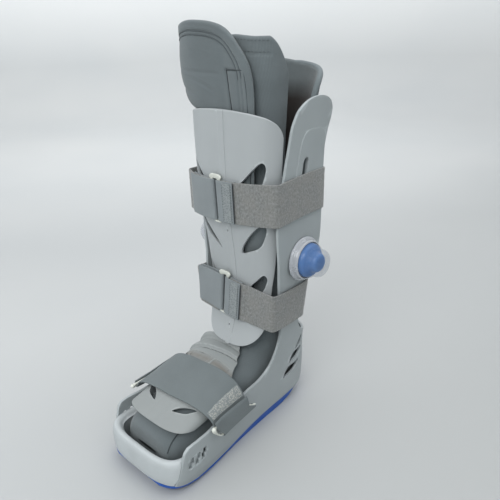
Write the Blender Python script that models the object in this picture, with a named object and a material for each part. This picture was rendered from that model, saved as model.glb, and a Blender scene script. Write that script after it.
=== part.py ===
import bpy
import bmesh
import math
from mathutils import Vector

# Air walker boot. Metres, +Z up, toe to -Y, +X is the right side of the photo.
MM = 0.001
GAP = 0.3
# The tables below count y from the ankle; the part's own origin is the middle of its box.
ORIGIN_Y = -54.15

for old in list(bpy.data.objects):
    bpy.data.objects.remove(old, do_unlink=True)


def new_collection(name):
    made = bpy.data.collections.new(name)
    bpy.context.scene.collection.children.link(made)
    return made


PARTS = new_collection("air_walker_boot")
CUTTERS = new_collection("cutters")
CUTTERS.hide_render = True

COLOURS = {
    "shell_plastic": (0.38, 0.41, 0.42, 1.0),
    "bumper_rubber": (0.50, 0.54, 0.55, 1.0),
    "sole_rubber": (0.02, 0.06, 0.26, 1.0),
    "liner_fabric": (0.15, 0.185, 0.195, 1.0),
    "strap_felt": (0.26, 0.26, 0.25, 1.0),
    "strap_web": (0.18, 0.21, 0.22, 1.0),
    "loop_plastic": (0.58, 0.59, 0.55, 1.0),
    "pump_clear": (0.45, 0.47, 0.50, 1.0),
    "pump_blue": (0.10, 0.26, 0.52, 1.0),
}


def material_for(node, slot):
    made = bpy.data.materials.new(slot + "." + node)
    made.use_nodes = True
    shader = made.node_tree.nodes["Principled BSDF"]
    shader.inputs["Base Color"].default_value = COLOURS[slot]
    shader.inputs["Roughness"].default_value = 0.55
    return made


# Tables: the first name is the key column, values between rows follow a smooth monotone curve.
def slopes(keys, vals):
    n = len(keys)
    steps = [(vals[i + 1] - vals[i]) / (keys[i + 1] - keys[i]) for i in range(n - 1)]
    out = [steps[0]]
    for i in range(1, n - 1):
        a, b = steps[i - 1], steps[i]
        out.append(0.0 if a * b <= 0.0 else 2.0 * a * b / (a + b))
    out.append(steps[-1])
    return out


class Table:
    def __init__(self, names, rows):
        self.names = names
        self.keys = [row[0] for row in rows]
        self.cols = {}
        for i, name in enumerate(names):
            vals = [row[i] for row in rows]
            self.cols[name] = (vals, slopes(self.keys, vals))

    def at(self, name, key):
        vals, slope = self.cols[name]
        keys = self.keys
        if key <= keys[0]:
            return vals[0]
        if key >= keys[-1]:
            return vals[-1]
        i = 0
        while keys[i + 1] < key:
            i += 1
        h = keys[i + 1] - keys[i]
        t = (key - keys[i]) / h
        a = (1 + 2 * t) * (1 - t) ** 2
        b = t * (1 - t) ** 2
        c = t * t * (3 - 2 * t)
        d = t * t * (t - 1)
        return a * vals[i] + b * h * slope[i] + c * vals[i + 1] + d * h * slope[i + 1]


def finish(mesh_bm, name, group=PARTS, slot=None):
    bmesh.ops.remove_doubles(mesh_bm, verts=mesh_bm.verts, dist=0.00002)
    bmesh.ops.dissolve_degenerate(mesh_bm, edges=mesh_bm.edges, dist=0.00001)
    bmesh.ops.recalc_face_normals(mesh_bm, faces=mesh_bm.faces)
    if mesh_bm.calc_volume(signed=True) < 0.0:
        bmesh.ops.reverse_faces(mesh_bm, faces=mesh_bm.faces)
    mesh = bpy.data.meshes.new(name)
    mesh_bm.to_mesh(mesh)
    mesh_bm.free()
    obj = bpy.data.objects.new(name, mesh)
    group.objects.link(obj)
    if group is CUTTERS:
        obj.hide_render = True
        obj.display_type = "WIRE"
    if slot:
        mesh.materials.append(material_for(name, slot))
    return obj


def mm_vert(mesh_bm, p):
    return mesh_bm.verts.new((p[0] * MM, (p[1] - ORIGIN_Y) * MM, p[2] * MM))


def loft(loops, name, group=PARTS, slot=None, cap="flat"):
    """Closed loops of equal length joined in order.

    cap: "flat" closes each end with one face, "strips" with a row of faces between the two
    halves of the loop, counted from its first point, "grid" the same for two equal rows,
    and "none" joins the last loop to the first.
    """
    made = bmesh.new()
    rings = [[mm_vert(made, p) for p in loop] for loop in loops]
    count = len(rings[0])
    spans = len(rings) if cap == "none" else len(rings) - 1
    for i in range(spans):
        a, b = rings[i], rings[(i + 1) % len(rings)]
        for j in range(count):
            k = (j + 1) % count
            made.faces.new((a[j], a[k], b[k], b[j]))
    shift = 1 if cap == "grid" else 0
    for ring in (rings[0], rings[-1]):
        if cap == "flat":
            made.faces.new(ring)
        elif cap != "none":
            half = count // 2
            for j in range(half - shift):
                corners = [ring[j], ring[j + 1], ring[count - 1 - shift - j], ring[-j - shift]]
                made.faces.new(sorted(set(corners), key=corners.index))
    bmesh.ops.triangulate(made, faces=[f for f in made.faces if len(f.verts) > 4])
    return finish(made, name, group, slot)


def sheet(outer, inner, name, slot=None, group=PARTS):
    """Two grids of equal size, joined round their four edges."""
    loops = []
    for out_row, in_row in zip(outer, inner):
        loops.append(list(out_row) + list(reversed(in_row)))
    return loft(loops, name, group, slot, "grid")


def prism(points, axis, low, high, name):
    """Outline in the two other axes, drawn out along one axis."""
    def place(p, depth):
        if axis == "x":
            return (depth, p[0], p[1])
        if axis == "y":
            return (p[0], depth, p[1])
        return (p[0], p[1], depth)
    loops = [[place(p, low) for p in points], [place(p, high) for p in points]]
    return loft(loops, name, CUTTERS)


def volume_of(mesh):
    made = bmesh.new()
    made.from_mesh(mesh)
    size = made.calc_volume(signed=True)
    made.free()
    return size


def boolean(target, cutter, kind):
    """Exact first; the manifold solver where the exact one gives an impossible volume."""
    before, tool = volume_of(target.data), volume_of(cutter.data)
    for solver in ("EXACT", "MANIFOLD"):
        mod = target.modifiers.new(kind, "BOOLEAN")
        mod.operation = kind
        mod.solver = solver
        mod.object = cutter
        bpy.context.view_layer.update()
        depsgraph = bpy.context.evaluated_depsgraph_get()
        mesh = bpy.data.meshes.new_from_object(target.evaluated_get(depsgraph))
        target.modifiers.remove(mod)
        made = bmesh.new()
        made.from_mesh(mesh)
        bmesh.ops.remove_doubles(made, verts=made.verts, dist=0.000004)
        bmesh.ops.dissolve_degenerate(made, edges=made.edges, dist=0.000002)
        bmesh.ops.triangulate(made, faces=[f for f in made.faces if len(f.verts) > 4])
        after = made.calc_volume(signed=True)
        made.to_mesh(mesh)
        made.free()
        if kind == "DIFFERENCE":
            sound = before - tool * 1.001 < after < before
        else:
            sound = 0.0 < after < min(before, tool) * 1.001
        if sound and after > 0.0:
            break
    old = target.data
    target.data = mesh
    mesh.name = old.name


def smooth_line(points, steps, closed=False):
    """Catmull-Rom line through 2-D or 3-D points."""
    out = []
    n = len(points)
    spans = n if closed else n - 1
    for i in range(spans):
        if closed:
            four = [points[(i + k - 1) % n] for k in range(4)]
        else:
            four = [points[min(max(i + k - 1, 0), n - 1)] for k in range(4)]
        for s in range(steps):
            t = s / steps
            w0 = -0.5 * t + t * t - 0.5 * t ** 3
            w1 = 1 - 2.5 * t * t + 1.5 * t ** 3
            w2 = 0.5 * t + 2 * t * t - 1.5 * t ** 3
            w3 = -0.5 * t * t + 0.5 * t ** 3
            out.append(tuple(w0 * a + w1 * b + w2 * c + w3 * d for a, b, c, d in zip(*four)))
    if not closed:
        out.append(tuple(points[-1]))
    return out


def spread(low, high, count):
    return [low + (high - low) * i / (count - 1) for i in range(count)]


# Outsole: bottom and top of the rocker along the foot, and its half width.
SOLE = Table(("y", "bottom", "top"), [
    (-190, 9.0, 13.0),
    (-183, 7.0, 11.5),
    (-160, 2.6, 7.5),
    (-140, 0.3, 4.8),
    (-130, 0.0, 4.4),
    (-115, 0.0, 4.8),
    (-93, 0.0, 7.0),
    (-68, 0.0, 10.0),
    (-41, 0.0, 12.0),
    (-12, 0.0, 13.0),
    (8, 2.0, 14.5),
    (25, 8.0, 17.5),
    (40, 15.5, 22.0),
    (52, 24.0, 28.0),
])

# Plan shape of the moulding, by height: half widths at stations along the foot, and the heel.
SHELL = Table(("z", "toe", "ball", "waist", "ankle", "heel", "rear"), [
    (-2, 50.5, 47.0, 42.0, 38.0, 34.0, 46.0),
    (8, 55.0, 50.5, 45.0, 41.0, 38.0, 53.0),
    (20, 57.5, 53.0, 47.0, 43.0, 41.0, 57.0),
    (50, 58.0, 54.5, 50.0, 46.0, 43.5, 58.0),
    (75, 56.0, 54.0, 51.0, 48.0, 44.5, 56.5),
    (100, 56.0, 54.0, 52.0, 50.5, 47.0, 58.0),
    (130, 56.0, 55.0, 54.0, 53.0, 51.0, 68.0),
    (170, 57.0, 57.0, 57.0, 57.0, 56.0, 86.0),
    (210, 60.0, 60.0, 60.5, 61.5, 61.0, 104.0),
    (290, 62.0, 62.0, 62.5, 63.5, 63.0, 110.0),
    (340, 63.5, 63.5, 64.0, 65.5, 65.5, 114.0),
    (380, 65.0, 65.0, 65.5, 67.5, 68.0, 118.0),
])
STATIONS = (("toe", -155.0), ("ball", -120.0), ("waist", -78.0), ("ankle", -35.0), ("heel", 15.0))
TOE_FRONT = -193.5
TOE_POWER = 3.6
SHELL_WALL = 3.0
FLOOR_TOP_RISE = 3.0


def shell_loop(z, inset):
    """One closed plan outline of the moulding, counted from the toe round the heel."""
    side = Table(("y", "w"), [(y, SHELL.at(key, z) - inset) for key, y in STATIONS])
    toe_y = STATIONS[0][1]
    heel_y = STATIONS[-1][1]
    half = []
    toe_w = side.at("w", toe_y)
    reach = toe_y - (TOE_FRONT + inset)
    for i in range(7):
        a = math.pi / 2 * i / 7
        x = toe_w * math.sin(a) ** (2 / TOE_POWER)
        y = toe_y - reach * math.cos(a) ** (2 / TOE_POWER)
        half.append((x, y))
    for y in spread(toe_y, heel_y, 8):
        half.append((side.at("w", y), y))
    heel_w = side.at("w", heel_y)
    back = SHELL.at("rear", z) - inset - heel_y
    for i in range(1, 7):
        a = math.pi / 2 * i / 6
        half.append((heel_w * math.cos(a) ** (2 / 2.15), heel_y + back * math.sin(a) ** (2 / 2.15)))
    half[0] = (0.0, half[0][1])
    half[-1] = (0.0, half[-1][1])
    loop = half + [(-x, y) for x, y in reversed(half[1:-1])]
    return [(x, y, z) for x, y in loop]


LEVELS = (-2, 3, 8, 14, 20, 34, 50, 75, 100, 130, 170, 210, 290, 340, 380)


def half_width(z, y, inset):
    """Half width of the plan outline at one height and one place along the foot."""
    plan = shell_loop(z, inset)
    for (x0, y0, _), (x1, y1, _) in zip(plan, plan[1:]):
        if x0 >= 0 and x1 >= 0 and y0 <= y <= y1:
            return x0 + (x1 - x0) * (y - y0) / max(y1 - y0, 0.001)
    return 0.0

# Side view of the moulding: upper edge from the toe, ankle opening, upright, heel.
SHELL_FRONT = [(-182.0, 12.0), (-178.0, 26.0), (-174.0, 40.0), (-171.0, 49.0), (-167.0, 53.0)]
SHELL_EDGE = [(-160.0, 54.0), (-150.0, 54.2), (-136.0, 54.5), (-105.0, 60.0), (-75.0, 66.0), (-58.0, 67.0),
              (-44.0, 70.5), (-31.0, 79.0), (-22.0, 94.0), (-17.5, 112.0), (-19.0, 135.0), (-26.0, 170.0),
              (-32.0, 215.0), (-33.5, 245.0), (-27.0, 285.0), (-18.0, 325.0), (-14.5, 341.0), (-10.0, 351.0),
              (-3.0, 360.0), (12.0, 368.0), (31.0, 370.0), (48.0, 365.0), (56.5, 356.0), (55.5, 347.0),
              (49.0, 335.0), (43.5, 318.0), (41.5, 298.0), (42.5, 262.0), (42.5, 222.0), (37.0, 200.0),
              (23.0, 176.0), (15.5, 150.0), (14.5, 125.0), (20.0, 106.0), (34.0, 94.0), (52.0, 89.0)]


UPRIGHT_REAR = Table(("z", "y"), [(z, y) for y, z in sorted(SHELL_EDGE[-9:-2], key=lambda p: p[1])])


def shell_side_outline():
    top = SHELL_FRONT + smooth_line(SHELL_EDGE, 2)
    top.append((75.0, 88.0))
    bottom = [(75.0, 28.0 + GAP)]
    for y in sorted(SOLE_STATIONS, reverse=True):
        if y > -180.0:
            bottom.append((y, SOLE.at("top", y) + GAP))
    return top + bottom


def build_rear_shell():
    outer = loft([shell_loop(z, 0.0) for z in LEVELS], "rear_shell", PARTS, "shell_plastic", "strips")
    floor = Table(("y", "z"), [(y, SOLE.at("top", y) + GAP + FLOOR_TOP_RISE) for y in SOLE.keys])
    first_full = 34.0
    hollow_loops = []
    for share in (0.0, 0.3, 0.65):
        guide = shell_loop(18.0 + (first_full - 18.0) * share, SHELL_WALL)
        hollow_loops.append([(x, y, floor.at("z", y) + (first_full - floor.at("z", y)) * share) for x, y, _ in guide])
    for z in [first_full] + [level for level in LEVELS if level > first_full]:
        hollow_loops.append(shell_loop(z, SHELL_WALL))
    hollow_loops[-1] = [(x, y, z + 4.0) for x, y, z in hollow_loops[-1]]
    hollow = loft(hollow_loops, "hollow", CUTTERS, None, "strips")
    side = prism(shell_side_outline(), "x", -90.0, 90.0, "side_view")
    boolean(outer, side, "INTERSECT")
    boolean(outer, hollow, "DIFFERENCE")
    return outer


def leaf(points, steps=3):
    return smooth_line(points, steps, closed=True)


HEEL_VENTS = [
    [(-6.0, 46.5), (2.0, 53.0), (14.0, 53.5), (25.0, 54.5), (17.0, 48.5), (5.0, 46.5)],
    [(5.0, 62.0), (12.0, 68.5), (30.0, 70.0), (24.0, 65.0), (14.0, 62.5)],
    [(16.0, 77.0), (26.0, 85.0), (30.0, 84.0), (24.0, 78.0)],
]
TOE_NOTCHES = [(-161.0, 32.0), (-152.0, 32.5), (-143.0, 33.0)]
NOTCH = [(-3.2, -6.0), (0.2, -6.0), (-0.4, -1.6), (3.2, -0.4), (2.2, 6.0), (-1.4, 6.0), (-0.6, 1.2), (-4.0, 0.0)]


def cut_shell_openings(shell):
    for sign, side in ((1, "r"), (-1, "l")):
        low, high = (30.0, 80.0) if sign > 0 else (-80.0, -30.0)
        for i, vent in enumerate(HEEL_VENTS):
            cutter = prism(leaf(vent, 2), "x", low, high, "vent_" + side + str(i))
            boolean(shell, cutter, "DIFFERENCE")
        for i, (y, z) in enumerate(TOE_NOTCHES):
            shape = [(y + a, z + b) for a, b in NOTCH]
            cutter = prism(shape, "x", low, high, "notch_" + side + str(i))
            boolean(shell, cutter, "DIFFERENCE")
        slot = [(9.0, 255.0), (12.5, 255.0), (17.5, 306.0), (16.5, 308.5), (15.0, 309.0), (13.8, 306.5)]
        cutter = prism(slot, "x", low, high, "slot_" + side)
        boolean(shell, cutter, "DIFFERENCE")


SOLE_STATIONS = (-190, -186, -180, -170, -160, -150, -140, -125, -110, -93, -80, -68, -55, -41, -26, -12, -2,
                 8, 17, 25, 33, 40, 46, 52)


def build_outsole():
    loops = []
    for y in SOLE_STATIONS:
        bottom = SOLE.at("bottom", y)
        top = SOLE.at("top", y)
        half = half_width(8.0, y, 0.5)
        low = half - 3.0
        loops.append([(-half, y, top), (-half, y, top - 1.5), (-low, y, bottom), (low, y, bottom),
                      (half, y, top - 1.5), (half, y, top)])
    return loft(loops, "outsole", PARTS, "sole_rubber")


# Toe bumper: cross-section as inward offset and height, swept round the toe.
BUMPER = [(0.6, 0.0), (0.4, 12.0), (0.8, 24.0), (2.4, 29.5), (5.0, 31.0), (8.0, 30.0), (10.0, 26.5),
          (10.6, 20.0), (10.0, 0.0)]
BUMPER_BASE = 9.0


BUMPER_BACK = -147.0
SEAM = Table(("z", "y"), [(z, y) for y, z in [(-184.0, 5.0)] + SHELL_FRONT])


def build_bumper():
    stations = []
    loops = {off: shell_loop(BUMPER_BASE + rise + 2.0, off) for off, rise in BUMPER}
    count = 8
    for i in list(range(count, 0, -1)) + [0] + [-k for k in range(1, count + 1)]:
        loop = []
        for off, rise in BUMPER:
            x, y, _ = loops[off][i]
            if abs(i) == count:
                y = BUMPER_BACK
            z = BUMPER_BASE + rise
            loop.append((x, y, max(z, SOLE.at("top", y) + 3 * GAP)))
        stations.append(loop)
    bumper = loft(stations, "toe_bumper", PARTS, "bumper_rubber")
    for sign, side in ((1, "r"), (-1, "l")):
        rings = []
        for z in (5.0, 12.0, 26.0, 40.0, 49.0, 56.0):
            front = SEAM.at("y", z) - GAP
            ys = spread(front, -130.0, 8)
            ring = [(sign * half_width(z, y, SHELL_WALL + GAP), y, z) for y in ys]
            rings.append(ring + [(sign * 75.0, -130.0, z), (sign * 75.0, front, z)])
        boolean(bumper, loft(rings, "seam_" + side, CUTTERS), "DIFFERENCE")
    slab = []
    for y in (SHELL_FRONT[0][0] - GAP, -176.0, -168.0, -160.0, -150.0, -140.0):
        top = SOLE.at("top", y) + GAP + FLOOR_TOP_RISE + 2 * GAP
        slab.append([(-75.0, y, -5.0), (-75.0, y, top), (75.0, y, top), (75.0, y, -5.0)])
    boolean(bumper, loft(slab, "floor_room", CUTTERS), "DIFFERENCE")
    return bumper


# Liner: instep or shin point, sole or calf point, half width, centre share and section powers.
LINER = Table(("row", "ay", "az", "by", "bz", "w", "mid", "ea", "eb"), [
    (0, -180.5, 36.0, -180.5, 24.0, 20.0, 0.5, 2.3, 2.3),
    (1, -179.0, 45.0, -179.5, 16.5, 31.0, 0.5, 2.4, 2.8),
    (2, -170.0, 54.0, -171.0, 13.3, 38.0, 0.5, 2.6, 3.2),
    (3, -148.0, 62.0, -150.0, 10.4, 41.0, 0.5, 2.6, 3.4),
    (4, -120.0, 75.0, -118.0, 9.0, 43.0, 0.5, 2.5, 3.4),
    (5, -95.0, 83.0, -82.0, 12.8, 42.0, 0.5, 2.4, 3.2),
    (6, -73.0, 86.0, -38.0, 16.6, 40.0, 0.5, 2.3, 3.0),
    (7, -56.0, 89.0, 6.0, 19.2, 38.5, 0.5, 2.3, 2.6),
    (8, -44.0, 94.0, 36.0, 27.0, 38.5, 0.5, 2.3, 2.4),
    (9, -36.0, 104.0, 50.0, 52.0, 40.0, 0.5, 2.3, 2.3),
    (10, -31.0, 118.0, 48.0, 84.0, 42.0, 0.5, 2.4, 2.2),
    (11, -28.5, 135.0, 44.0, 118.0, 43.0, 0.48, 2.4, 2.2),
    (12, -27.0, 160.0, 43.0, 152.0, 46.0, 0.46, 2.4, 2.2),
    (13, -29.5, 190.0, 49.0, 190.0, 49.5, 0.44, 3.0, 2.2),
    (14, -35.0, 230.0, 57.0, 230.0, 52.0, 0.42, 3.2, 2.2),
    (15, -40.5, 262.0, 64.0, 262.0, 53.4, 0.41, 3.4, 2.2),
    (16, -42.5, 300.0, 68.0, 300.0, 54.4, 0.40, 3.6, 2.2),
    (17, -43.0, 340.0, 73.0, 340.0, 55.0, 0.40, 3.6, 2.2),
    (18, -44.0, 370.0, 80.0, 370.0, 57.5, 0.39, 3.6, 2.2),
    (19, -45.0, 400.0, 86.0, 400.0, 63.0, 0.38, 3.6, 2.2),
    (20, -46.0, 445.0, 88.0, 445.0, 62.0, 0.38, 3.6, 2.2),
])
LINER_WALL = 7.0


def liner_section(row, inset):
    """Instep point, calf point, half width and the two powers of one section."""
    a = (LINER.at("ay", row), LINER.at("az", row))
    b = (LINER.at("by", row), LINER.at("bz", row))
    span = math.hypot(b[0] - a[0], b[1] - a[1])
    ux, uz = (b[0] - a[0]) / span, (b[1] - a[1]) / span
    mid = LINER.at("mid", row) * span
    return a, (ux, uz), mid - inset, span - mid - inset, mid, LINER.at("w", row) - inset


def liner_point(row, angle, inset):
    """Angle 0 is the instep or shin side, +90 is +X, 180 the calf or sole side."""
    a, (ux, uz), front, back, mid, wide = liner_section(row, inset)
    s, c = math.sin(angle), math.cos(angle)
    reach, power = (front, LINER.at("ea", row)) if c > 0 else (back, LINER.at("eb", row))
    r = ((abs(s) / wide) ** power + (abs(c) / reach) ** power) ** (-1 / power)
    along = mid - r * c
    return (r * s, a[0] + ux * along, a[1] + uz * along)


def leg_row(z):
    """Row number at a height, for the level rows of the leg."""
    low, high = 13.0, 20.0
    for _ in range(30):
        half = (low + high) / 2
        if LINER.at("az", half) < z:
            low = half
        else:
            high = half
    return low


WRAP_TOP = Table(("angle", "top"), [
    (-180, 397), (-160, 401), (-135, 403), (-112, 400), (-104, 396), (-102, 262), (92, 262), (94, 352),
    (97, 372), (104, 383), (118, 389), (135, 392), (156, 394), (180, 397),
])
WRAP_ANGLES = ([-180, -163, -145, -128, -112, -104, -102] + [-90 + 18 * i for i in range(10)]
               + [84, 92, 94, 98, 108, 125, 143, 162])
SEAM_ROW = 15.0


def build_liner():
    rows = [0, 1, 2, 3, 4, 5, 6, 7, 7.6, 8.2, 9, 10, 11, 12, 13, 14, SEAM_ROW]
    def loops(inset, first):
        out = []
        for row in rows[first:]:
            if first and row in (7.6, 10, 12, 14):
                continue
            out.append([liner_point(row, math.radians(d), inset) for d in WRAP_ANGLES])
        for share in (0.33, 0.66, 0.95, 1.0):
            loop = []
            for d in WRAP_ANGLES:
                z = 262.0 + (WRAP_TOP.at("top", d) - 262.0) * share + share * 0.5
                squeeze = 1.2 if share == 1.0 else 0.0
                extra = squeeze if inset < LINER_WALL / 2 else -squeeze
                loop.append(liner_point(leg_row(z), math.radians(d), inset + extra))
            out.append(loop)
        return out
    outer = loops(0.0, 0)
    inner = loops(LINER_WALL, 2)
    made = bmesh.new()
    def skin(grid):
        rings = [[mm_vert(made, p) for p in loop] for loop in grid]
        for a, b in zip(rings, rings[1:]):
            for j in range(len(a)):
                k = (j + 1) % len(a)
                made.faces.new((a[j], a[k], b[k], b[j]))
        made.faces.new(rings[0])
        return rings[-1]
    out_top = skin(outer)
    in_top = skin(inner)
    for j in range(len(out_top)):
        k = (j + 1) % len(out_top)
        made.faces.new((out_top[j], out_top[k], in_top[k], in_top[j]))
    bmesh.ops.triangulate(made, faces=[f for f in made.faces if len(f.verts) > 4])
    return finish(made, "liner_boot", PARTS, "liner_fabric")


LEFT_TOP = Table(("angle", "top", "bulge"), [
    (-100, 404, 1.0), (-85, 418, 4.5), (-65, 432, 7.5), (-48, 440, 9.0), (-34, 443, 7.5), (-19, 442, 4.5),
    (-3, 439, 2.0), (9, 434, 0.0), (18, 428, 0.0), (26, 420, 0.0), (33, 411, 0.0), (38, 401, 0.0),
    (41, 388, 0.0), (42, 372, 0.0),
])
MID_TOP = Table(("angle", "top"), [
    (-30, 420), (0, 428), (17, 429), (32, 428), (46, 427), (58, 427), (64, 423), (70, 415), (76, 403), (81, 387),
    (84, 368), (85, 345),
])


FLARE_FROM = 358.0
FLARE_OVER = 60.0


def build_flap(name, table, low_z, inset, thick, bulged):
    first, last = table.keys[0], table.keys[-1]
    cols = 16
    rows = 8
    outer, inner = [], []
    for i in range(cols):
        share = i / (cols - 1)
        share = share + 0.10 * math.sin(2 * math.pi * share) * -0.5
        angle = first + (last - first) * share
        out_row, in_row = [], []
        edge_side = min(share, 1 - share) * (cols - 1)
        for j in range(rows):
            t = (j / (rows - 1))
            z = low_z + (table.at("top", angle) - low_z) * t
            flare = 0.0
            if bulged:
                flare = table.at("bulge", angle) * max(0.0, (z - FLARE_FROM) / FLARE_OVER) ** 0.8
            edge = min(edge_side, (rows - 1 - j) * 1.2)
            squeeze = thick * 0.22 if edge < 0.5 else 0.0
            row = leg_row(z)
            a = math.radians(angle)
            out_row.append(liner_point(row, a, inset - flare + squeeze))
            in_row.append(liner_point(row, a, inset + thick - flare - squeeze))
        outer.append(out_row)
        inner.append(in_row)
    return sheet(outer, inner, name, "liner_fabric")


# Shin plate: section by height.
PLATE = Table(("z", "front", "wide", "edge", "power"), [
    (92, -57.0, 54.5, -41.0, 3.6),
    (98, -54.0, 54.0, -40.0, 3.6),
    (108, -48.5, 53.5, -37.5, 3.6),
    (120, -43.5, 53.0, -34.5, 3.6),
    (140, -38.5, 52.5, -30.0, 3.8),
    (170, -36.0, 53.0, -26.0, 3.8),
    (200, -37.5, 54.5, -24.0, 4.0),
    (231, -41.5, 56.0, -23.5, 4.0),
    (265, -45.5, 57.5, -22.0, 4.0),
    (300, -47.5, 58.5, -20.5, 4.0),
    (345, -48.0, 59.0, -18.0, 4.0),
    (362, -48.0, 59.0, -17.0, 4.0),
])
PLATE_THICK = 2.6
PLATE_TOP = Table(("u", "z"), [(0.0, 361.0), (0.25, 360.5), (0.5, 359.0), (0.72, 355.0), (0.88, 348.0), (0.97, 340.0),
                               (1.0, 334.0)])
PLATE_LOW = Table(("u", "z"), [(0.0, 98.0), (0.2, 98.5), (0.4, 100.0), (0.6, 103.5), (0.78, 109.5), (0.92, 118.0),
                               (1.0, 128.0)])


def plate_point(u, z, inset):
    """u runs from -1 at the left edge to +1 at the right edge."""
    front = PLATE.at("front", z)
    wide = PLATE.at("wide", z) - inset
    edge = PLATE.at("edge", z)
    power = PLATE.at("power", z)
    middle = 8.0
    deep = middle - front - inset
    x_end = wide * (1 - ((middle - edge) / (middle - front)) ** power) ** (1 / power)
    a_end = math.atan2(x_end, middle - edge)
    a = abs(u) * a_end
    s, c = math.sin(a), math.cos(a)
    r = ((s / wide) ** power + (c / deep) ** power) ** (-1 / power)
    ridge = 0.9 * max(0.0, 1 - abs(r * s) / 9.0)
    ridge = min(ridge, 0.6)
    return (math.copysign(r * s, u), middle - r * c - (ridge if inset == 0.0 else 0.0), z)


def build_shin_plate():
    outer, inner = [], []
    cols = 21
    rows = 10
    for i in range(cols):
        u = -1 + 2 * i / (cols - 1)
        top = PLATE_TOP.at("z", abs(u))
        low = PLATE_LOW.at("z", abs(u))
        out_row, in_row = [], []
        for j in range(rows):
            z = low + (top - low) * (j / (rows - 1)) ** 1.15
            out_row.append(plate_point(u, z, 0.0))
            in_row.append(plate_point(u, z, PLATE_THICK))
        outer.append(out_row)
        inner.append(in_row)
    return sheet(outer, inner, "shin_plate", "shell_plastic")


PLATE_WINDOWS = [
    [(20.5, 285.5), (28.0, 293.0), (37.0, 302.5), (45.5, 311.0), (49.5, 310.5), (50.5, 304.0), (48.0, 292.0),
     (44.0, 284.0), (38.0, 281.0), (28.0, 282.5)],
    [(14.5, 208.5), (17.0, 216.5), (26.0, 229.0), (35.0, 239.0), (42.0, 245.0), (47.0, 244.0), (47.0, 237.0),
     (42.0, 223.5), (36.0, 217.5), (28.0, 213.5), (20.0, 210.0)],
    [(21.0, 164.0), (24.0, 171.0), (32.0, 179.5), (39.0, 186.5), (42.5, 185.5), (43.0, 180.0), (39.0, 168.5),
     (34.0, 163.0), (27.0, 162.0)],
]


def cut_plate_windows(plate):
    for sign, side in ((1, "r"), (-1, "l")):
        for i, window in enumerate(PLATE_WINDOWS):
            shape = [(sign * x, z) for x, z in leaf(window, 2)]
            cutter = prism(shape, "y", -80.0, 0.0, "window_" + side + str(i))
            boolean(plate, cutter, "DIFFERENCE")


TOE_LEAF = [(14.5, -151.0), (19.0, -144.5), (27.0, -139.0), (36.5, -135.0), (33.5, -141.0), (28.0, -146.5)]
TOE_NOTCH = [(32.5, -87.0), (38.0, -81.5), (38.0, -86.5)]


def cut_toe_openings(plate):
    for sign, side in ((1, "r"), (-1, "l")):
        for name, points in (("leaf_", leaf(TOE_LEAF, 2)), ("notch_", TOE_NOTCH)):
            shape = [(sign * x, y) for x, y in points]
            cutter = prism(shape, "z", 40.0, 120.0, "toe_" + name + side)
            boolean(plate, cutter, "DIFFERENCE")


# Toe plate: height of the crown, half width and depth of the sides along the foot.
TOE = Table(("y", "crown", "wide", "fall"), [
    (-170, 61.5, 42.5, 7.0),
    (-162, 65.0, 45.0, 10.0),
    (-150, 69.5, 46.0, 14.0),
    (-135, 75.5, 46.5, 18.0),
    (-115, 83.5, 46.5, 23.0),
    (-95, 90.0, 46.0, 27.0),
    (-78, 93.0, 45.5, 28.0),
    (-66, 94.5, 45.0, 28.0),
    (-56, 95.0, 44.5, 27.0),
    (-50, 96.5, 44.0, 26.0),
    (-46, 99.0, 43.5, 25.0),
])
TOE_THICK = 2.4


def toe_point(u, y, lift):
    crown = TOE.at("crown", y) + lift
    wide = TOE.at("wide", y) + lift
    fall = TOE.at("fall", y) + lift
    a = u * math.radians(86)
    s, c = math.sin(abs(a)), math.cos(a)
    power = 2.5
    r = (s ** power + c ** power) ** (-1 / power)
    return (math.copysign(r * s * wide, u), y, crown - fall + r * c * fall)


def build_toe_plate():
    outer, inner = [], []
    for share in spread(0.0, 1.0, 9):
        out_row, in_row = [], []
        for u in spread(-1, 1, 17):
            front = -170.0 + 22.0 * abs(u) ** 3.0
            y = front + (-46.0 - front) * share
            out_row.append(toe_point(u, y, 0.0))
            in_row.append(toe_point(u, y, -TOE_THICK))
        outer.append(out_row)
        inner.append(in_row)
    return sheet(outer, inner, "toe_plate", "shell_plastic")


def hull(points):
    pts = sorted(set(points))
    def half(seq):
        out = []
        for p in seq:
            while len(out) > 1:
                a, b = out[-2], out[-1]
                if (b[0] - a[0]) * (p[1] - a[1]) - (b[1] - a[1]) * (p[0] - a[0]) <= 0:
                    out.pop()
                else:
                    break
            out.append(p)
        return out[:-1]
    return half(pts) + half(list(reversed(pts)))


def strap_outline(levels):
    """Convex outline round the plate, the uprights and the calf, over two heights."""
    points = []
    for level in levels:
        for i in range(41):
            u = -1 + 2 * i / 40
            points.append(plate_point(u, level, 0.0)[:2])
        rear = UPRIGHT_REAR.at("y", level)
        for y in spread(-36.0, rear, 9):
            x = half_width(level, y, 0.0)
            points += [(x, y), (-x, y)]
        for d in range(100, 261, 8):
            x, y, _ = liner_point(leg_row(max(level, 190.0)), math.radians(d), 0.0)
            points.append((x, y))
    return hull(points)


def resample(loop, count):
    lengths = [0.0]
    for a, b in zip(loop, loop[1:] + loop[:1]):
        lengths.append(lengths[-1] + math.dist(a, b))
    out = []
    k = 0
    for i in range(count):
        want = lengths[-1] * i / count
        while lengths[k + 1] < want:
            k += 1
        a, b = loop[k], loop[(k + 1) % len(loop)]
        t = (want - lengths[k]) / max(lengths[k + 1] - lengths[k], 1e-6)
        out.append((a[0] + (b[0] - a[0]) * t, a[1] + (b[1] - a[1]) * t))
    return out


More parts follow.
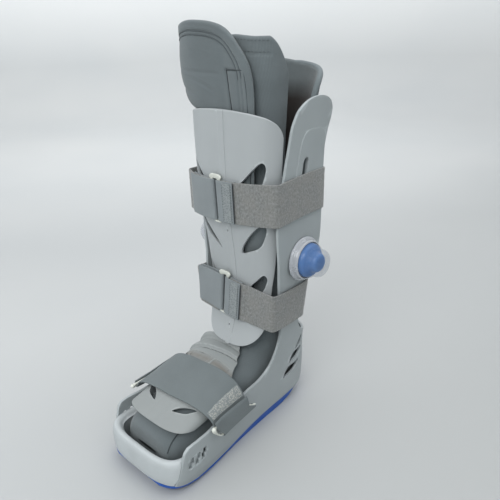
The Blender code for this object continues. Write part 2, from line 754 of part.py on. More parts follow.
class Round:
    """Length along a band's path round the leg, from a direction seen from above (0 is the shin)."""
    def __init__(self, middle, reach, degrees):
        self.low, self.high = middle - reach, middle + reach
        self.edges = []
        angle = math.radians(degrees)
        def off(p):
            turn = math.atan2(p[0], -p[1]) - angle
            return abs(math.atan2(math.sin(turn), math.cos(turn)))
        for level in (self.low, self.high):
            fine = resample(strap_outline((level, middle)), 720)
            first = min(range(len(fine)), key=lambda i: off(fine[i]))
            self.edges.append(fine[first:] + fine[:first])
        around = [sum(math.dist(p, q) for p, q in zip(e, e[1:] + e[:1])) for e in self.edges]
        self.length = sum(around) / 2
        self.step = self.length / 720

    def bent_places(self, low, high, count):
        """Places between two lengths, closer together where the outline turns."""
        points = self.edges[1]
        n = len(points)
        first, last = int(low / self.step), int(high / self.step)
        weights = [0.0]
        for i in range(first, last):
            p, q, r = points[(i - 2) % n], points[i % n], points[(i + 2) % n]
            one = math.atan2(q[1] - p[1], q[0] - p[0])
            two = math.atan2(r[1] - q[1], r[0] - q[0])
            turn = abs(math.atan2(math.sin(two - one), math.cos(two - one)))
            weights.append(weights[-1] + self.step + BEND_WEIGHT * turn)
        out = []
        k = 0
        for j in range(count):
            want = weights[-1] * j / (count - 1)
            while k < len(weights) - 2 and weights[k + 1] < want:
                k += 1
            t = (want - weights[k]) / max(weights[k + 1] - weights[k], 1e-6)
            out.append((first + k + min(t, 1.0)) * self.step)
        return out

    def at(self, s, lift, z):
        """Point on the path at one height, moved outwards by the lift."""
        place = s / self.step
        share = min(max((z - self.low) / (self.high - self.low), 0.0), 1.0)
        found = []
        for points in self.edges:
            n = len(points)
            i = math.floor(place)
            t = place - i
            p, q = points[i % n], points[(i + 1) % n]
            back, ahead = points[(i - 4) % n], points[(i + 5) % n]
            tx, ty = ahead[0] - back[0], ahead[1] - back[1]
            size = math.hypot(tx, ty)
            found.append((p[0] + (q[0] - p[0]) * t + ty / size * lift, p[1] + (q[1] - p[1]) * t - tx / size * lift))
        (x0, y0), (x1, y1) = found
        return (x0 + (x1 - x0) * share, y0 + (y1 - y0) * share, z)


BEND_WEIGHT = 30.0


def ribbon(round_, line, thick, z_mid, half, name, slot):
    """Upright band along (s, lift) places, with middle height and half width by s."""
    loops = []
    n = len(line)
    for i, (s, lift) in enumerate(line):
        corners = []
        for sign in (-1, 1):
            spots = []
            for k in (max(i - 1, 0), i, min(i + 1, n - 1)):
                spots.append(round_.at(line[k][0], line[k][1], z_mid(s) + sign * half(s)))
            (x0, y0, _), (x, y, z), (x1, y1, _) = spots
            size = math.hypot(x1 - x0, y1 - y0)
            nx, ny = (y1 - y0) / size * thick / 2, -(x1 - x0) / size * thick / 2
            corners.append(((x + nx, y + ny, z), (x - nx, y - ny, z)))
        (out_low, in_low), (out_high, in_high) = corners
        loops.append([out_low, out_high, in_high, in_low])
    return loft(loops, name, PARTS, slot)


FELT_THICK = 2.0
BAND_CLEAR = 0.75
STRAP_REACH = 24.0
TAB_THICK = 1.3
BAR_RADIUS = 1.4
FOLD_RADIUS = BAR_RADIUS + GAP + TAB_THICK / 2
BAR_SHIFT = 4.6
BAR_SIDES = 6
BAR_LIFT = 0.6 + TAB_THICK / 2 + FOLD_RADIUS
LOOP_RISE = 3.4


def tab_line(sign, reach):
    """Inner layer, fold round the loop bar, outer layer; sign +1 is the right end."""
    line = []
    low, high = BAR_LIFT - FOLD_RADIUS, BAR_LIFT + FOLD_RADIUS
    for s in spread(reach, BAR_SHIFT + 1.0, 6):
        line.append((sign * s, low))
    for i in range(7):
        a = math.pi * i / 6
        line.append((sign * (BAR_SHIFT - FOLD_RADIUS * math.sin(a)), BAR_LIFT - FOLD_RADIUS * math.cos(a)))
    for s in spread(BAR_SHIFT + 1.0, reach, 6):
        line.append((sign * s, high))
    return line


def build_strap(name, middle, direction, z_mid, half, tab_right, tab_left):
    round_ = Round(middle, STRAP_REACH, direction)
    start = BAR_SHIFT + BAR_RADIUS + 1.6
    stop = round_.length - start
    left = round_.length - tab_left
    places = spread(start + 1.0, tab_right + 3.0, 5) + round_.bent_places(tab_right + 9.0, left - 9.0, 32)
    places += spread(left - 3.0, stop - 1.0, 9)
    line = []
    for s in places:
        near = s < tab_right + 4.0 or s > left - 4.0
        line.append((s, BAR_LIFT if near else BAND_CLEAR + FELT_THICK / 2))
    ribbon(round_, line, FELT_THICK, z_mid, half, name, "strap_felt")
    ribbon(round_, tab_line(1, tab_right), TAB_THICK, z_mid, half, name + "_tab", "strap_web")
    ribbon(round_, tab_line(-1, tab_left), TAB_THICK, z_mid, half, name + "_tab_left", "strap_web")
    wide, z0, tall = BAR_SHIFT, z_mid(0.0), half(0.0) + LOOP_RISE
    path = []
    corner = 2.6
    for cx, cz, a0 in ((1, 1, 0), (-1, 1, 90), (-1, -1, 180), (1, -1, 270)):
        for i in range(4):
            a = math.radians(a0 + 30 * i)
            path.append((cx * (wide - corner) + corner * math.cos(a), cz * (tall - corner) + corner * math.sin(a)))
    loops = []
    n = len(path)
    for i, (u, v) in enumerate(path):
        u0, v0 = path[i - 1]
        u1, v1 = path[(i + 1) % n]
        size = math.hypot(u1 - u0, v1 - v0)
        nu, nv = (v1 - v0) / size, -(u1 - u0) / size
        ring = []
        for k in range(BAR_SIDES):
            a = 2 * math.pi * k / BAR_SIDES
            side, out = BAR_RADIUS * math.cos(a), BAR_RADIUS * math.sin(a)
            ring.append(round_.at(u + nu * side, BAR_LIFT + out, z0 + v + nv * side))
        loops.append(ring)
    return loft(loops, "loop_" + name.split("_")[1], PARTS, "loop_plastic", "none")


# Air pumps: radius and height of the lathe profile, from the upright outwards.
PUMP_Y = 8.0
PUMP_Z = 200.0
COLLAR = [(24.5, 0.0), (24.5, 2.2), (23.2, 3.4), (22.8, 7.0), (21.4, 9.2), (19.6, 9.6), (19.6, 0.0)]
BULB = [(19.0, 0.0), (19.0, 9.4), (18.0, 13.0), (15.6, 15.6), (14.4, 17.0), (14.4, 23.0), (13.0, 25.8), (9.0, 27.0),
        (0.0, 27.4)]


def lathe(profile, base_x, sign, name, slot, closed):
    count = 16
    made = bmesh.new()
    rings = []
    for r, h in profile:
        x = sign * (base_x + h)
        if r == 0.0:
            rings.append([mm_vert(made, (x, PUMP_Y, PUMP_Z))])
            continue
        ring = []
        for k in range(count):
            a = 2 * math.pi * k / count
            ring.append(mm_vert(made, (x, PUMP_Y + r * math.cos(a), PUMP_Z + r * math.sin(a))))
        rings.append(ring)
    pairs = list(zip(rings, rings[1:]))
    if closed:
        pairs.append((rings[-1], rings[0]))
    else:
        made.faces.new(rings[0])
    for a, b in pairs:
        for k in range(count):
            m = (k + 1) % count
            if len(b) == 1:
                made.faces.new((a[k], a[m], b[0]))
            else:
                made.faces.new((a[k], a[m], b[m], b[k]))
    bmesh.ops.triangulate(made, faces=[f for f in made.faces if len(f.verts) > 4])
    return finish(made, name, PARTS, slot)


def build_pumps():
    base = 0.0
    for z in spread(PUMP_Z - 24.5, PUMP_Z + 24.5, 9):
        for x, y, _ in shell_loop(z, 0.0):
            if abs(y - PUMP_Y) < 26.0:
                base = max(base, x)
    for sign, side in ((1, "right"), (-1, "left")):
        lathe(COLLAR, base + GAP, sign, "pump_base_" + side, "pump_clear", True)
        lathe(BULB, base + GAP, sign, "pump_bulb_" + side, "pump_blue", False)


# Foot strap: arch over the toe plate, folded back on itself round a ring at each end.
FOOT_BASE = 57.0
FOOT_CLEAR = 0.5
FOOT_LAYER = 1.6
FOOT_WIDTH = 49.0
FOOT_SKEW = 12.0
FOOT_FRONT = -141.0
FOOT_ARCH = 0.80
RING_RADIUS = 1.2
FOOT_FOLD = RING_RADIUS + GAP + FOOT_LAYER / 2
FOOT_LIFT = FOOT_CLEAR + FOOT_LAYER / 2
RING_OVER = 0.09
# Ends, as a share of the way from the crown: side, fold, end of the outer layer, upper bar of the ring.
FOOT_ENDS = [(1, 1.0, 0.64, 0.80), (-1, 0.72, 0.50, 0.60)]


def foot_point(share, v, lift):
    """share -1..1 from the left end to the right end, v 0 front edge to 1 rear edge."""
    y = FOOT_FRONT + FOOT_SKEW * share + FOOT_WIDTH * v
    crown = TOE.at("crown", min(y, -60.0)) + 0.3 + lift
    wide = max(54.6, half_width(50.0, y, 0.0)) + lift
    if abs(share) > FOOT_ARCH:
        end = 44.0 + 8.0 * v
        t = (abs(share) - FOOT_ARCH) / (1 - FOOT_ARCH)
        return (math.copysign(wide, share), y + t * 8.0, FOOT_BASE + (end - FOOT_BASE) * t)
    a = share / FOOT_ARCH * math.pi / 2
    s, c = math.sin(abs(a)), math.cos(a)
    power = 2.7
    r = (s ** power + c ** power) ** (-1 / power)
    return (math.copysign(wide * r * s, share), y, FOOT_BASE + (crown - FOOT_BASE) * r * c)


def fold_frame(sign, end, v):
    """Middle of the fold, the way on along the strap and the way out, at one place across it."""
    low = foot_point(sign * end, v, FOOT_LIFT)
    high = foot_point(sign * end, v, FOOT_LIFT + 2 * FOOT_FOLD)
    out = Vector(high) - Vector(low)
    out.normalize()
    on = Vector(low) - Vector(foot_point(sign * (end - 0.02), v, FOOT_LIFT))
    on.y = 0.0
    on -= out * on.dot(out)
    on.normalize()
    return Vector(low) + out * FOOT_FOLD, on, out


def foot_line(v):
    """Middle line of the strap from one free end to the other."""
    line = []
    for sign, end, stop, _ in reversed(FOOT_ENDS):
        part = [Vector(foot_point(sign * u, v, FOOT_LIFT + 2 * FOOT_FOLD)) for u in spread(stop, end, 5)]
        middle, on, out = fold_frame(sign, end, v)
        for k in range(1, 6):
            a = math.pi * k / 6
            part.append(middle + (out * math.cos(a) + on * math.sin(a)) * FOOT_FOLD)
        if sign < 0:
            line += part
            for u in spread(-end, FOOT_ENDS[0][1], 25):
                line.append(Vector(foot_point(u, v, FOOT_LIFT)))
        else:
            line += list(reversed(part))
    return line


def build_foot_strap():
    columns = [foot_line(v) for v in spread(0, 1, 4)]
    outer, inner = [], []
    for i in range(len(columns[0])):
        out_row, in_row = [], []
        for line in columns:
            along = line[min(i + 1, len(line) - 1)] - line[max(i - 1, 0)]
            across = Vector((-along.z, 0.0, along.x)).normalized() * (FOOT_LAYER / 2)
            out_row.append(tuple(line[i] + across))
            in_row.append(tuple(line[i] - across))
        outer.append(out_row)
        inner.append(in_row)
    sheet(outer, inner, "strap_foot", "strap_web")
    for (sign, end, _, bar), side in zip(FOOT_ENDS, ("right", "left")):
        build_foot_ring(sign, end, bar, "loop_foot_" + side)


def build_foot_ring(sign, end, bar, name):
    """Rounded wire ring: one long bar in the fold, the other between the two layers."""
    path = []
    middle_lift = FOOT_LIFT + FOOT_FOLD
    front, rear = -RING_OVER, 1 + RING_OVER
    for v in (0.0, 1 / 3, 2 / 3, 1.0):
        path.append(fold_frame(sign, end, v)[0])
    path.append(Vector(foot_point(sign * (end - 0.02), rear - 0.02, middle_lift)))
    path.append(Vector(foot_point(sign * (end * 0.5 + bar * 0.5), rear, middle_lift)))
    path.append(Vector(foot_point(sign * (bar + 0.02), rear - 0.02, middle_lift)))
    for v in (1.0, 2 / 3, 1 / 3, 0.0):
        path.append(Vector(foot_point(sign * bar, v, middle_lift)))
    path.append(Vector(foot_point(sign * (bar + 0.02), front + 0.02, middle_lift)))
    path.append(Vector(foot_point(sign * (end * 0.5 + bar * 0.5), front, middle_lift)))
    path.append(Vector(foot_point(sign * (end - 0.02), front + 0.02, middle_lift)))
    loops = []
    n = len(path)
    for i, point in enumerate(path):
        along = (path[(i + 1) % n] - path[i - 1]).normalized()
        out = Vector((sign * 1.0, 0.0, 0.35))
        one = (out - along * out.dot(along)).normalized()
        two = along.cross(one)
        ring = []
        for k in range(BAR_SIDES):
            a = 2 * math.pi * k / BAR_SIDES
            ring.append(tuple(point + (one * math.cos(a) + two * math.sin(a)) * RING_RADIUS))
        loops.append(ring)
    return loft(loops, name, PARTS, "loop_plastic", "none")


def main():
    shell = build_rear_shell()
    cut_shell_openings(shell)
    build_outsole()
    build_bumper()
    build_liner()
    build_flap("liner_flap_left", LEFT_TOP, 263.1, 1.0, 6.0, True)
    build_flap("liner_flap_mid", MID_TOP, 250.0, LINER_WALL + 2.4, 6.0, False)
    plate = build_shin_plate()
    cut_plate_windows(plate)
    toe = build_toe_plate()
    cut_toe_openings(toe)
    def upper_z(s):
        return 267.5 + 5.0 * math.exp(-((s - 130.0) / 60.0) ** 2)
    def lower_z(s):
        return 151.5 - 6.0 * math.exp(-((s - 100.0) / 60.0) ** 2) + 5.0 * math.exp(-((s + 25.0) / 40.0) ** 2)
    build_strap("strap_upper", 268.0, -9.0, upper_z, lambda s: 22.5, 25.0, 42.0)
    build_strap("strap_lower", 151.0, -16.0, lower_z, lambda s: 22.0, 25.0, 42.0)
    build_pumps()
    build_foot_strap()


main()
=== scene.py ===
import math

import bmesh
import bpy
from mathutils import Matrix, Vector, noise


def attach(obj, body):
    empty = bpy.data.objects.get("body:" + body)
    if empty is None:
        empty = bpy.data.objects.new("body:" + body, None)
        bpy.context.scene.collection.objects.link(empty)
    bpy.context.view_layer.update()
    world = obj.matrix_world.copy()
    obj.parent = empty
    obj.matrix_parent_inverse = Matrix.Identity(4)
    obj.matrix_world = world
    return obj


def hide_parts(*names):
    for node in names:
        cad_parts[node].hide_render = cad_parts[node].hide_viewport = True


# Air walker boot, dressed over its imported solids. Shapes are in mm; y is counted from the ankle, z from the
# floor, and place() moves them to the part's frame, in metres.
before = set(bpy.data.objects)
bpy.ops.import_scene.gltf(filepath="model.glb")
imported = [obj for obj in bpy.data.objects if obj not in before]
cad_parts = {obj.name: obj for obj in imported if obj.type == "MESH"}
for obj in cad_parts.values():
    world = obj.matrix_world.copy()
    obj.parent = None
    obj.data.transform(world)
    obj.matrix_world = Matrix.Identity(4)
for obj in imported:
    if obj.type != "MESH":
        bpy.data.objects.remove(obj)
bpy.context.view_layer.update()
MM = 0.001
GAP = 0.3
ORIGIN_Y = -54.15


def slopes(keys, vals):
    n = len(keys)
    steps = [(vals[i + 1] - vals[i]) / (keys[i + 1] - keys[i]) for i in range(n - 1)]
    out = [steps[0]]
    for i in range(1, n - 1):
        a, b = steps[i - 1], steps[i]
        out.append(0.0 if a * b <= 0.0 else 2.0 * a * b / (a + b))
    out.append(steps[-1])
    return out


class Table:
    def __init__(self, names, rows):
        self.names = names
        self.keys = [row[0] for row in rows]
        self.cols = {}
        for i, name in enumerate(names):
            vals = [row[i] for row in rows]
            self.cols[name] = (vals, slopes(self.keys, vals))

    def at(self, name, key):
        vals, slope = self.cols[name]
        keys = self.keys
        if key <= keys[0]:
            return vals[0]
        if key >= keys[-1]:
            return vals[-1]
        i = 0
        while keys[i + 1] < key:
            i += 1
        h = keys[i + 1] - keys[i]
        t = (key - keys[i]) / h
        a = (1 + 2 * t) * (1 - t) ** 2
        b = t * (1 - t) ** 2
        c = t * t * (3 - 2 * t)
        d = t * t * (t - 1)
        return a * vals[i] + b * h * slope[i] + c * vals[i + 1] + d * h * slope[i + 1]


def smooth_line(points, steps, closed=False):
    """Catmull-Rom line through 2-D or 3-D points."""
    out = []
    n = len(points)
    spans = n if closed else n - 1
    for i in range(spans):
        four = [points[(i + k) % n if closed else min(max(i + k, 0), n - 1)] for k in (-1, 0, 1, 2)]
        for s in range(steps):
            t = s / steps
            w0 = -0.5 * t + t * t - 0.5 * t ** 3
            w1 = 1 - 2.5 * t * t + 1.5 * t ** 3
            w2 = 0.5 * t + 2 * t * t - 1.5 * t ** 3
            w3 = -0.5 * t * t + 0.5 * t ** 3
            out.append(tuple(w0 * a + w1 * b + w2 * c + w3 * d for a, b, c, d in zip(*four)))
    if not closed:
        out.append(tuple(points[-1]))
    return out


def spread(low, high, count):
    return [low + (high - low) * i / (count - 1) for i in range(count)]


def clamp(value):
    return min(max(value, 0.0), 1.0)


def between(low, high, share):
    return low + (high - low) * share


def rounded(s, c, power, wide=1.0, deep=1.0):
    """Reach of a rounded box, in the direction whose sine and cosine are given."""
    return ((s / wide) ** power + (c / deep) ** power) ** (-1 / power)


def circle(count):
    turns = [2 * math.pi * k / count for k in range(count)]
    return [(math.cos(a), math.sin(a)) for a in turns]


SOLE = Table(("y", "bottom", "top"), [
    (-190, 9.0, 13.0),
    (-183, 7.0, 11.5),
    (-160, 2.6, 7.5),
    (-140, 0.3, 4.8),
    (-130, 0.0, 4.4),
    (-115, 0.0, 4.8),
    (-93, 0.0, 7.0),
    (-68, 0.0, 10.0),
    (-41, 0.0, 12.0),
    (-12, 0.0, 13.0),
    (8, 2.0, 14.5),
    (25, 8.0, 17.5),
    (40, 15.5, 22.0),
    (52, 24.0, 28.0),
])
SHELL = Table(("z", "toe", "ball", "waist", "ankle", "heel", "rear"), [
    (-2, 50.5, 47.0, 42.0, 38.0, 34.0, 46.0),
    (8, 55.0, 50.5, 45.0, 41.0, 38.0, 53.0),
    (20, 57.5, 53.0, 47.0, 43.0, 41.0, 57.0),
    (50, 58.0, 54.5, 50.0, 46.0, 43.5, 58.0),
    (75, 56.0, 54.0, 51.0, 48.0, 44.5, 56.5),
    (100, 56.0, 54.0, 52.0, 50.5, 47.0, 58.0),
    (130, 56.0, 55.0, 54.0, 53.0, 51.0, 68.0),
    (170, 57.0, 57.0, 57.0, 57.0, 56.0, 86.0),
    (210, 60.0, 60.0, 60.5, 61.5, 61.0, 104.0),
    (290, 62.0, 62.0, 62.5, 63.5, 63.0, 110.0),
    (340, 63.5, 63.5, 64.0, 65.5, 65.5, 114.0),
    (380, 65.0, 65.0, 65.5, 67.5, 68.0, 118.0),
])
STATIONS = (("toe", -155.0), ("ball", -120.0), ("waist", -78.0), ("ankle", -35.0), ("heel", 15.0))
TOE_FRONT = -193.5
TOE_POWER = 3.6
HEEL_POWER = 2.15
SHELL_WALL = 3.0
FLOOR_TOP_RISE = 3.0


def side_widths(z, inset):
    return Table(("y", "w"), [(at, SHELL.at(key, z) - inset) for key, at in STATIONS])


def shell_loop(z, inset):
    """One closed plan outline of the moulding, counted from the toe round the heel."""
    side = side_widths(z, inset)
    toe_y, heel_y = STATIONS[0][1], STATIONS[-1][1]
    half = []
    toe_w = side.at("w", toe_y)
    reach = toe_y - (TOE_FRONT + inset)
    for i in range(16):
        a = math.pi / 2 * i / 16
        x = toe_w * math.sin(a) ** (2 / TOE_POWER)
        y = toe_y - reach * math.cos(a) ** (2 / TOE_POWER)
        half.append((x, y))
    for y in spread(toe_y, heel_y, 44):
        half.append((side.at("w", y), y))
    heel_w = side.at("w", heel_y)
    back = SHELL.at("rear", z) - inset - heel_y
    for i in range(1, 19):
        a = math.pi / 2 * i / 18
        half.append((heel_w * math.cos(a) ** (2 / HEEL_POWER), heel_y + back * math.sin(a) ** (2 / HEEL_POWER)))
    half[0] = (0.0, half[0][1])
    half[-1] = (0.0, half[-1][1])
    loop = half + [(-x, y) for x, y in reversed(half[1:-1])]
    return [(x, y, z) for x, y in loop]


SHELL_FRONT = [(-182.0, 12.0), (-178.0, 26.0), (-174.0, 40.0), (-171.0, 49.0), (-167.0, 53.0)]
SHELL_EDGE = [(-160.0, 54.0), (-150.0, 54.2), (-136.0, 54.5), (-105.0, 60.0), (-75.0, 66.0), (-58.0, 67.0),
              (-44.0, 70.5), (-31.0, 79.0), (-22.0, 94.0), (-17.5, 112.0), (-19.0, 135.0), (-26.0, 170.0),
              (-32.0, 215.0), (-33.5, 245.0), (-27.0, 285.0), (-18.0, 325.0), (-14.5, 341.0), (-10.0, 351.0),
              (-3.0, 360.0), (12.0, 368.0), (31.0, 370.0), (48.0, 365.0), (56.5, 356.0), (55.5, 347.0),
              (49.0, 335.0), (43.5, 318.0), (41.5, 298.0), (42.5, 262.0), (42.5, 222.0), (37.0, 200.0),
              (23.0, 176.0), (15.5, 150.0), (14.5, 125.0), (20.0, 106.0), (34.0, 94.0), (52.0, 89.0)]
UPRIGHT_REAR = Table(("z", "y"), [(z, y) for y, z in sorted(SHELL_EDGE[-9:-2], key=lambda p: p[1])])


def shell_side_outline():
    top = SHELL_FRONT + smooth_line(SHELL_EDGE, 6)
    top.append((75.0, 88.0))
    bottom = [(75.0, 28.0 + GAP)]
    for y in sorted(SOLE_STATIONS, reverse=True):
        if y > -180.0:
            bottom.append((y, SOLE.at("top", y) + GAP))
    return top + bottom


HEEL_VENTS = [
    [(-6.0, 46.5), (2.0, 53.0), (14.0, 53.5), (25.0, 54.5), (17.0, 48.5), (5.0, 46.5)],
    [(5.0, 62.0), (12.0, 68.5), (30.0, 70.0), (24.0, 65.0), (14.0, 62.5)],
    [(16.0, 77.0), (26.0, 85.0), (30.0, 84.0), (24.0, 78.0)],
]
TOE_NOTCHES = [(-164.5, 33.5), (-155.5, 34.2), (-146.5, 34.8)]
NOTCH = [(-3.6, -6.4), (1.0, -6.4), (0.8, -2.2), (3.9, -1.4), (3.3, 6.4), (-1.2, 6.4), (-1.4, 2.4), (-4.2, 1.4)]
SOLE_STATIONS = (-190, -186, -180, -170, -160, -150, -140, -125, -110, -93, -80, -68, -55, -41, -26, -12, -2,
                 8, 17, 25, 33, 40, 46, 52)
BUMPER = [(0.6, 0.0), (0.4, 12.0), (0.8, 24.0), (2.4, 29.5), (5.0, 31.0), (8.0, 30.0), (10.0, 26.5),
          (10.6, 20.0), (10.0, 0.0)]
BUMPER_BASE = 9.0
BUMPER_BACK = -147.0
SEAM = Table(("z", "y"), [(z, y) for y, z in [(-184.0, 5.0)] + SHELL_FRONT])
LINER = Table(("row", "ay", "az", "by", "bz", "w", "mid", "ea", "eb"), [
    (0, -176.0, 36.0, -176.0, 24.0, 20.0, 0.5, 2.3, 2.3),
    (1, -174.5, 45.5, -175.0, 16.5, 31.0, 0.5, 2.4, 2.8),
    (2, -166.5, 55.0, -168.0, 13.3, 37.5, 0.5, 2.6, 3.2),
    (3, -148.0, 62.0, -150.0, 10.4, 41.0, 0.5, 2.6, 3.4),
    (4, -120.0, 75.0, -118.0, 9.0, 43.0, 0.5, 2.5, 3.4),
    (5, -95.0, 83.0, -82.0, 12.8, 42.0, 0.5, 2.4, 3.2),
    (6, -73.0, 86.0, -38.0, 16.6, 40.0, 0.5, 2.3, 3.0),
    (7, -56.0, 89.0, 6.0, 19.2, 38.5, 0.5, 2.3, 2.6),
    (8, -44.0, 94.0, 36.0, 27.0, 38.5, 0.5, 2.3, 2.4),
    (9, -36.0, 104.0, 50.0, 52.0, 40.0, 0.5, 2.3, 2.3),
    (10, -31.0, 118.0, 48.0, 84.0, 42.0, 0.5, 2.4, 2.2),
    (11, -28.5, 135.0, 44.0, 118.0, 43.0, 0.48, 2.4, 2.2),
    (12, -27.0, 160.0, 43.0, 152.0, 46.0, 0.46, 2.4, 2.2),
    (13, -29.5, 190.0, 49.0, 190.0, 49.5, 0.44, 3.0, 2.2),
    (14, -35.0, 230.0, 57.0, 230.0, 52.0, 0.42, 3.2, 2.2),
    (15, -40.5, 262.0, 64.0, 262.0, 53.4, 0.41, 3.4, 2.2),
    (16, -42.5, 300.0, 68.0, 300.0, 54.4, 0.40, 3.6, 2.2),
    (17, -43.0, 340.0, 73.0, 340.0, 55.0, 0.40, 3.6, 2.2),
    (18, -44.0, 370.0, 80.0, 370.0, 57.5, 0.39, 3.6, 2.2),
    (19, -45.0, 400.0, 86.0, 400.0, 63.0, 0.38, 3.6, 2.2),
    (20, -46.0, 445.0, 88.0, 445.0, 62.0, 0.38, 3.6, 2.2),
])
LINER_WALL = 7.0


def liner_section(row, inset):
    """Instep point, calf point, half width and the two powers of one section."""
    a = (LINER.at("ay", row), LINER.at("az", row))
    b = (LINER.at("by", row), LINER.at("bz", row))
    span = math.hypot(b[0] - a[0], b[1] - a[1])
    ux, uz = (b[0] - a[0]) / span, (b[1] - a[1]) / span
    mid = LINER.at("mid", row) * span
    return a, (ux, uz), mid - inset, span - mid - inset, mid, LINER.at("w", row) - inset


def liner_point(row, angle, inset):
    """Angle 0 is the instep or shin side, +90 is +X, 180 the calf or sole side."""
    a, (ux, uz), front, back, mid, wide = liner_section(row, inset)
    s, c = math.sin(angle), math.cos(angle)
    reach, power = (front, LINER.at("ea", row)) if c > 0 else (back, LINER.at("eb", row))
    r = rounded(abs(s), abs(c), power, wide, reach)
    along = mid - r * c
    return (r * s, a[0] + ux * along, a[1] + uz * along)


def leg_row(z):
    """Row number at a height, for the level rows of the leg."""
    low, high = 13.0, 20.0
    for _ in range(30):
        half = (low + high) / 2
        if LINER.at("az", half) < z:
            low = half
        else:
            high = half
    return low


WRAP_TOP = Table(("angle", "top"), [
    (-180, 397), (-160, 401), (-135, 403), (-112, 400), (-104, 396), (-102, 262), (92, 262), (116, 268), (121, 310),
    (126, 348), (131, 370), (136, 381), (145, 388), (158, 393), (180, 397),
])
SEAM_ROW = 15.0
LEFT_TOP = Table(("angle", "top", "bulge"), [
    (-100, 404, 1.0), (-85, 418, 4.5), (-65, 432, 7.5), (-48, 440, 9.0), (-34, 443, 7.5), (-19, 442, 4.5),
    (-3, 439, 2.0), (9, 434, 0.0), (18, 428, 0.0), (26, 420, 0.0), (33, 411, 0.0), (38, 401, 0.0),
    (41, 388, 0.0), (42, 372, 0.0),
])
MID_TOP = Table(("angle", "top"), [
    (-30, 420), (0, 428), (17, 429), (32, 428), (46, 427), (58, 427), (64, 423), (70, 415), (76, 403), (81, 387),
    (84, 368), (85, 345),
])
PLATE = Table(("z", "front", "wide", "edge", "power"), [
    (92, -57.0, 54.5, -41.0, 3.6),
    (98, -54.0, 54.0, -40.0, 3.6),
    (108, -48.5, 53.5, -37.5, 3.6),
    (120, -43.5, 53.0, -34.5, 3.6),
    (140, -38.5, 52.5, -30.0, 3.8),
    (170, -36.0, 53.0, -26.0, 3.8),
    (200, -37.5, 54.5, -24.0, 4.0),
    (231, -41.5, 56.0, -23.5, 4.0),
    (265, -45.5, 57.5, -22.0, 4.0),
    (300, -47.5, 58.5, -20.5, 4.0),
    (345, -48.0, 59.0, -18.0, 4.0),
    (362, -48.0, 59.0, -17.0, 4.0),
])
PLATE_THICK = 2.6
PLATE_TOP = Table(("u", "z"), [(0.0, 361.0), (0.25, 360.5), (0.5, 359.0), (0.72, 355.0), (0.88, 348.0), (0.97, 340.0),
                               (1.0, 334.0)])
PLATE_LOW = Table(("u", "z"), [(0.0, 98.0), (0.2, 98.5), (0.4, 100.0), (0.6, 103.5), (0.78, 109.5), (0.92, 118.0),
                               (1.0, 128.0)])


def plate_point(u, z, inset):
    """u runs from -1 at the left edge to +1 at the right edge."""
    front = PLATE.at("front", z)
    wide = PLATE.at("wide", z) - inset
    edge = PLATE.at("edge", z)
    power = PLATE.at("power", z)
    middle = 8.0
    deep = middle - front - inset
    x_end = wide * (1 - ((middle - edge) / (middle - front)) ** power) ** (1 / power)
    a_end = math.atan2(x_end, middle - edge)
    a = abs(u) * a_end
    s, c = math.sin(a), math.cos(a)
    r = rounded(s, c, power, wide, deep)
    ridge = 0.9 * max(0.0, 1 - abs(r * s) / 9.0)
    ridge = min(ridge, 0.6)
    return (math.copysign(r * s, u), middle - r * c - (ridge if inset == 0.0 else 0.0), z)


PLATE_WINDOWS = [
    [(20.5, 285.5), (28.0, 293.0), (37.0, 302.5), (45.5, 311.0), (49.5, 310.5), (50.5, 304.0), (48.0, 292.0),
     (44.0, 284.0), (38.0, 281.0), (28.0, 282.5)],
    [(14.5, 208.5), (17.0, 216.5), (26.0, 229.0), (35.0, 239.0), (42.0, 245.0), (47.0, 244.0), (47.0, 237.0),
     (42.0, 223.5), (36.0, 217.5), (28.0, 213.5), (20.0, 210.0)],
    [(21.0, 164.0), (24.0, 171.0), (32.0, 179.5), (39.0, 186.5), (42.5, 185.5), (43.0, 180.0), (39.0, 168.5),
     (34.0, 163.0), (27.0, 162.0)],
]
TOE_LEAF = [(14.5, -151.0), (19.0, -144.5), (27.0, -139.0), (36.5, -135.0), (33.5, -141.0), (28.0, -146.5)]
TOE_NOTCH = [(32.5, -87.0), (38.0, -81.5), (38.0, -86.5)]
TOE = Table(("y", "crown", "wide", "fall"), [
    (-170, 61.5, 42.5, 7.0),
    (-162, 65.0, 45.0, 10.0),
    (-150, 69.5, 46.0, 14.0),
    (-135, 75.5, 46.5, 18.0),
    (-115, 83.5, 46.5, 23.0),
    (-95, 90.0, 46.0, 27.0),
    (-78, 93.0, 45.5, 28.0),
    (-66, 94.5, 45.0, 28.0),
    (-56, 95.0, 44.5, 27.0),
    (-50, 96.5, 44.0, 26.0),
    (-46, 99.0, 43.5, 25.0),
])
TOE_THICK = 2.4


def toe_point(u, y, lift):
    crown = TOE.at("crown", y) + lift
    wide = TOE.at("wide", y) + lift
    fall = TOE.at("fall", y) + lift
    a = u * math.radians(86)
    s, c = math.sin(abs(a)), math.cos(a)
    r = rounded(s, c, 2.5)
    return (math.copysign(r * s * wide, u), y, crown - fall + r * c * fall)


def hull(points):
    pts = sorted(set(points))
    def half(seq):
        out = []
        for p in seq:
            while len(out) > 1:
                a, b = out[-2], out[-1]
                if (b[0] - a[0]) * (p[1] - a[1]) - (b[1] - a[1]) * (p[0] - a[0]) <= 0:
                    out.pop()
                else:
                    break
            out.append(p)
        return out[:-1]
    return half(pts) + half(list(reversed(pts)))


def strap_outline(levels):
    """Convex outline round the plate, the uprights and the calf, over two heights."""
    points = []
    for level in levels:
        for i in range(81):
            u = -1 + 2 * i / 80
            points.append(plate_point(u, level, 0.0)[:2])
        rear = UPRIGHT_REAR.at("y", level)
        for y in spread(-36.0, rear, 9):
            x = half_width(level, y, 0.0)
            points += [(x, y), (-x, y)]
        for d in range(100, 261, 4):
            x, y, _ = liner_point(leg_row(max(level, 190.0)), math.radians(d), 0.0)
            points.append((x, y))
    return hull(points)


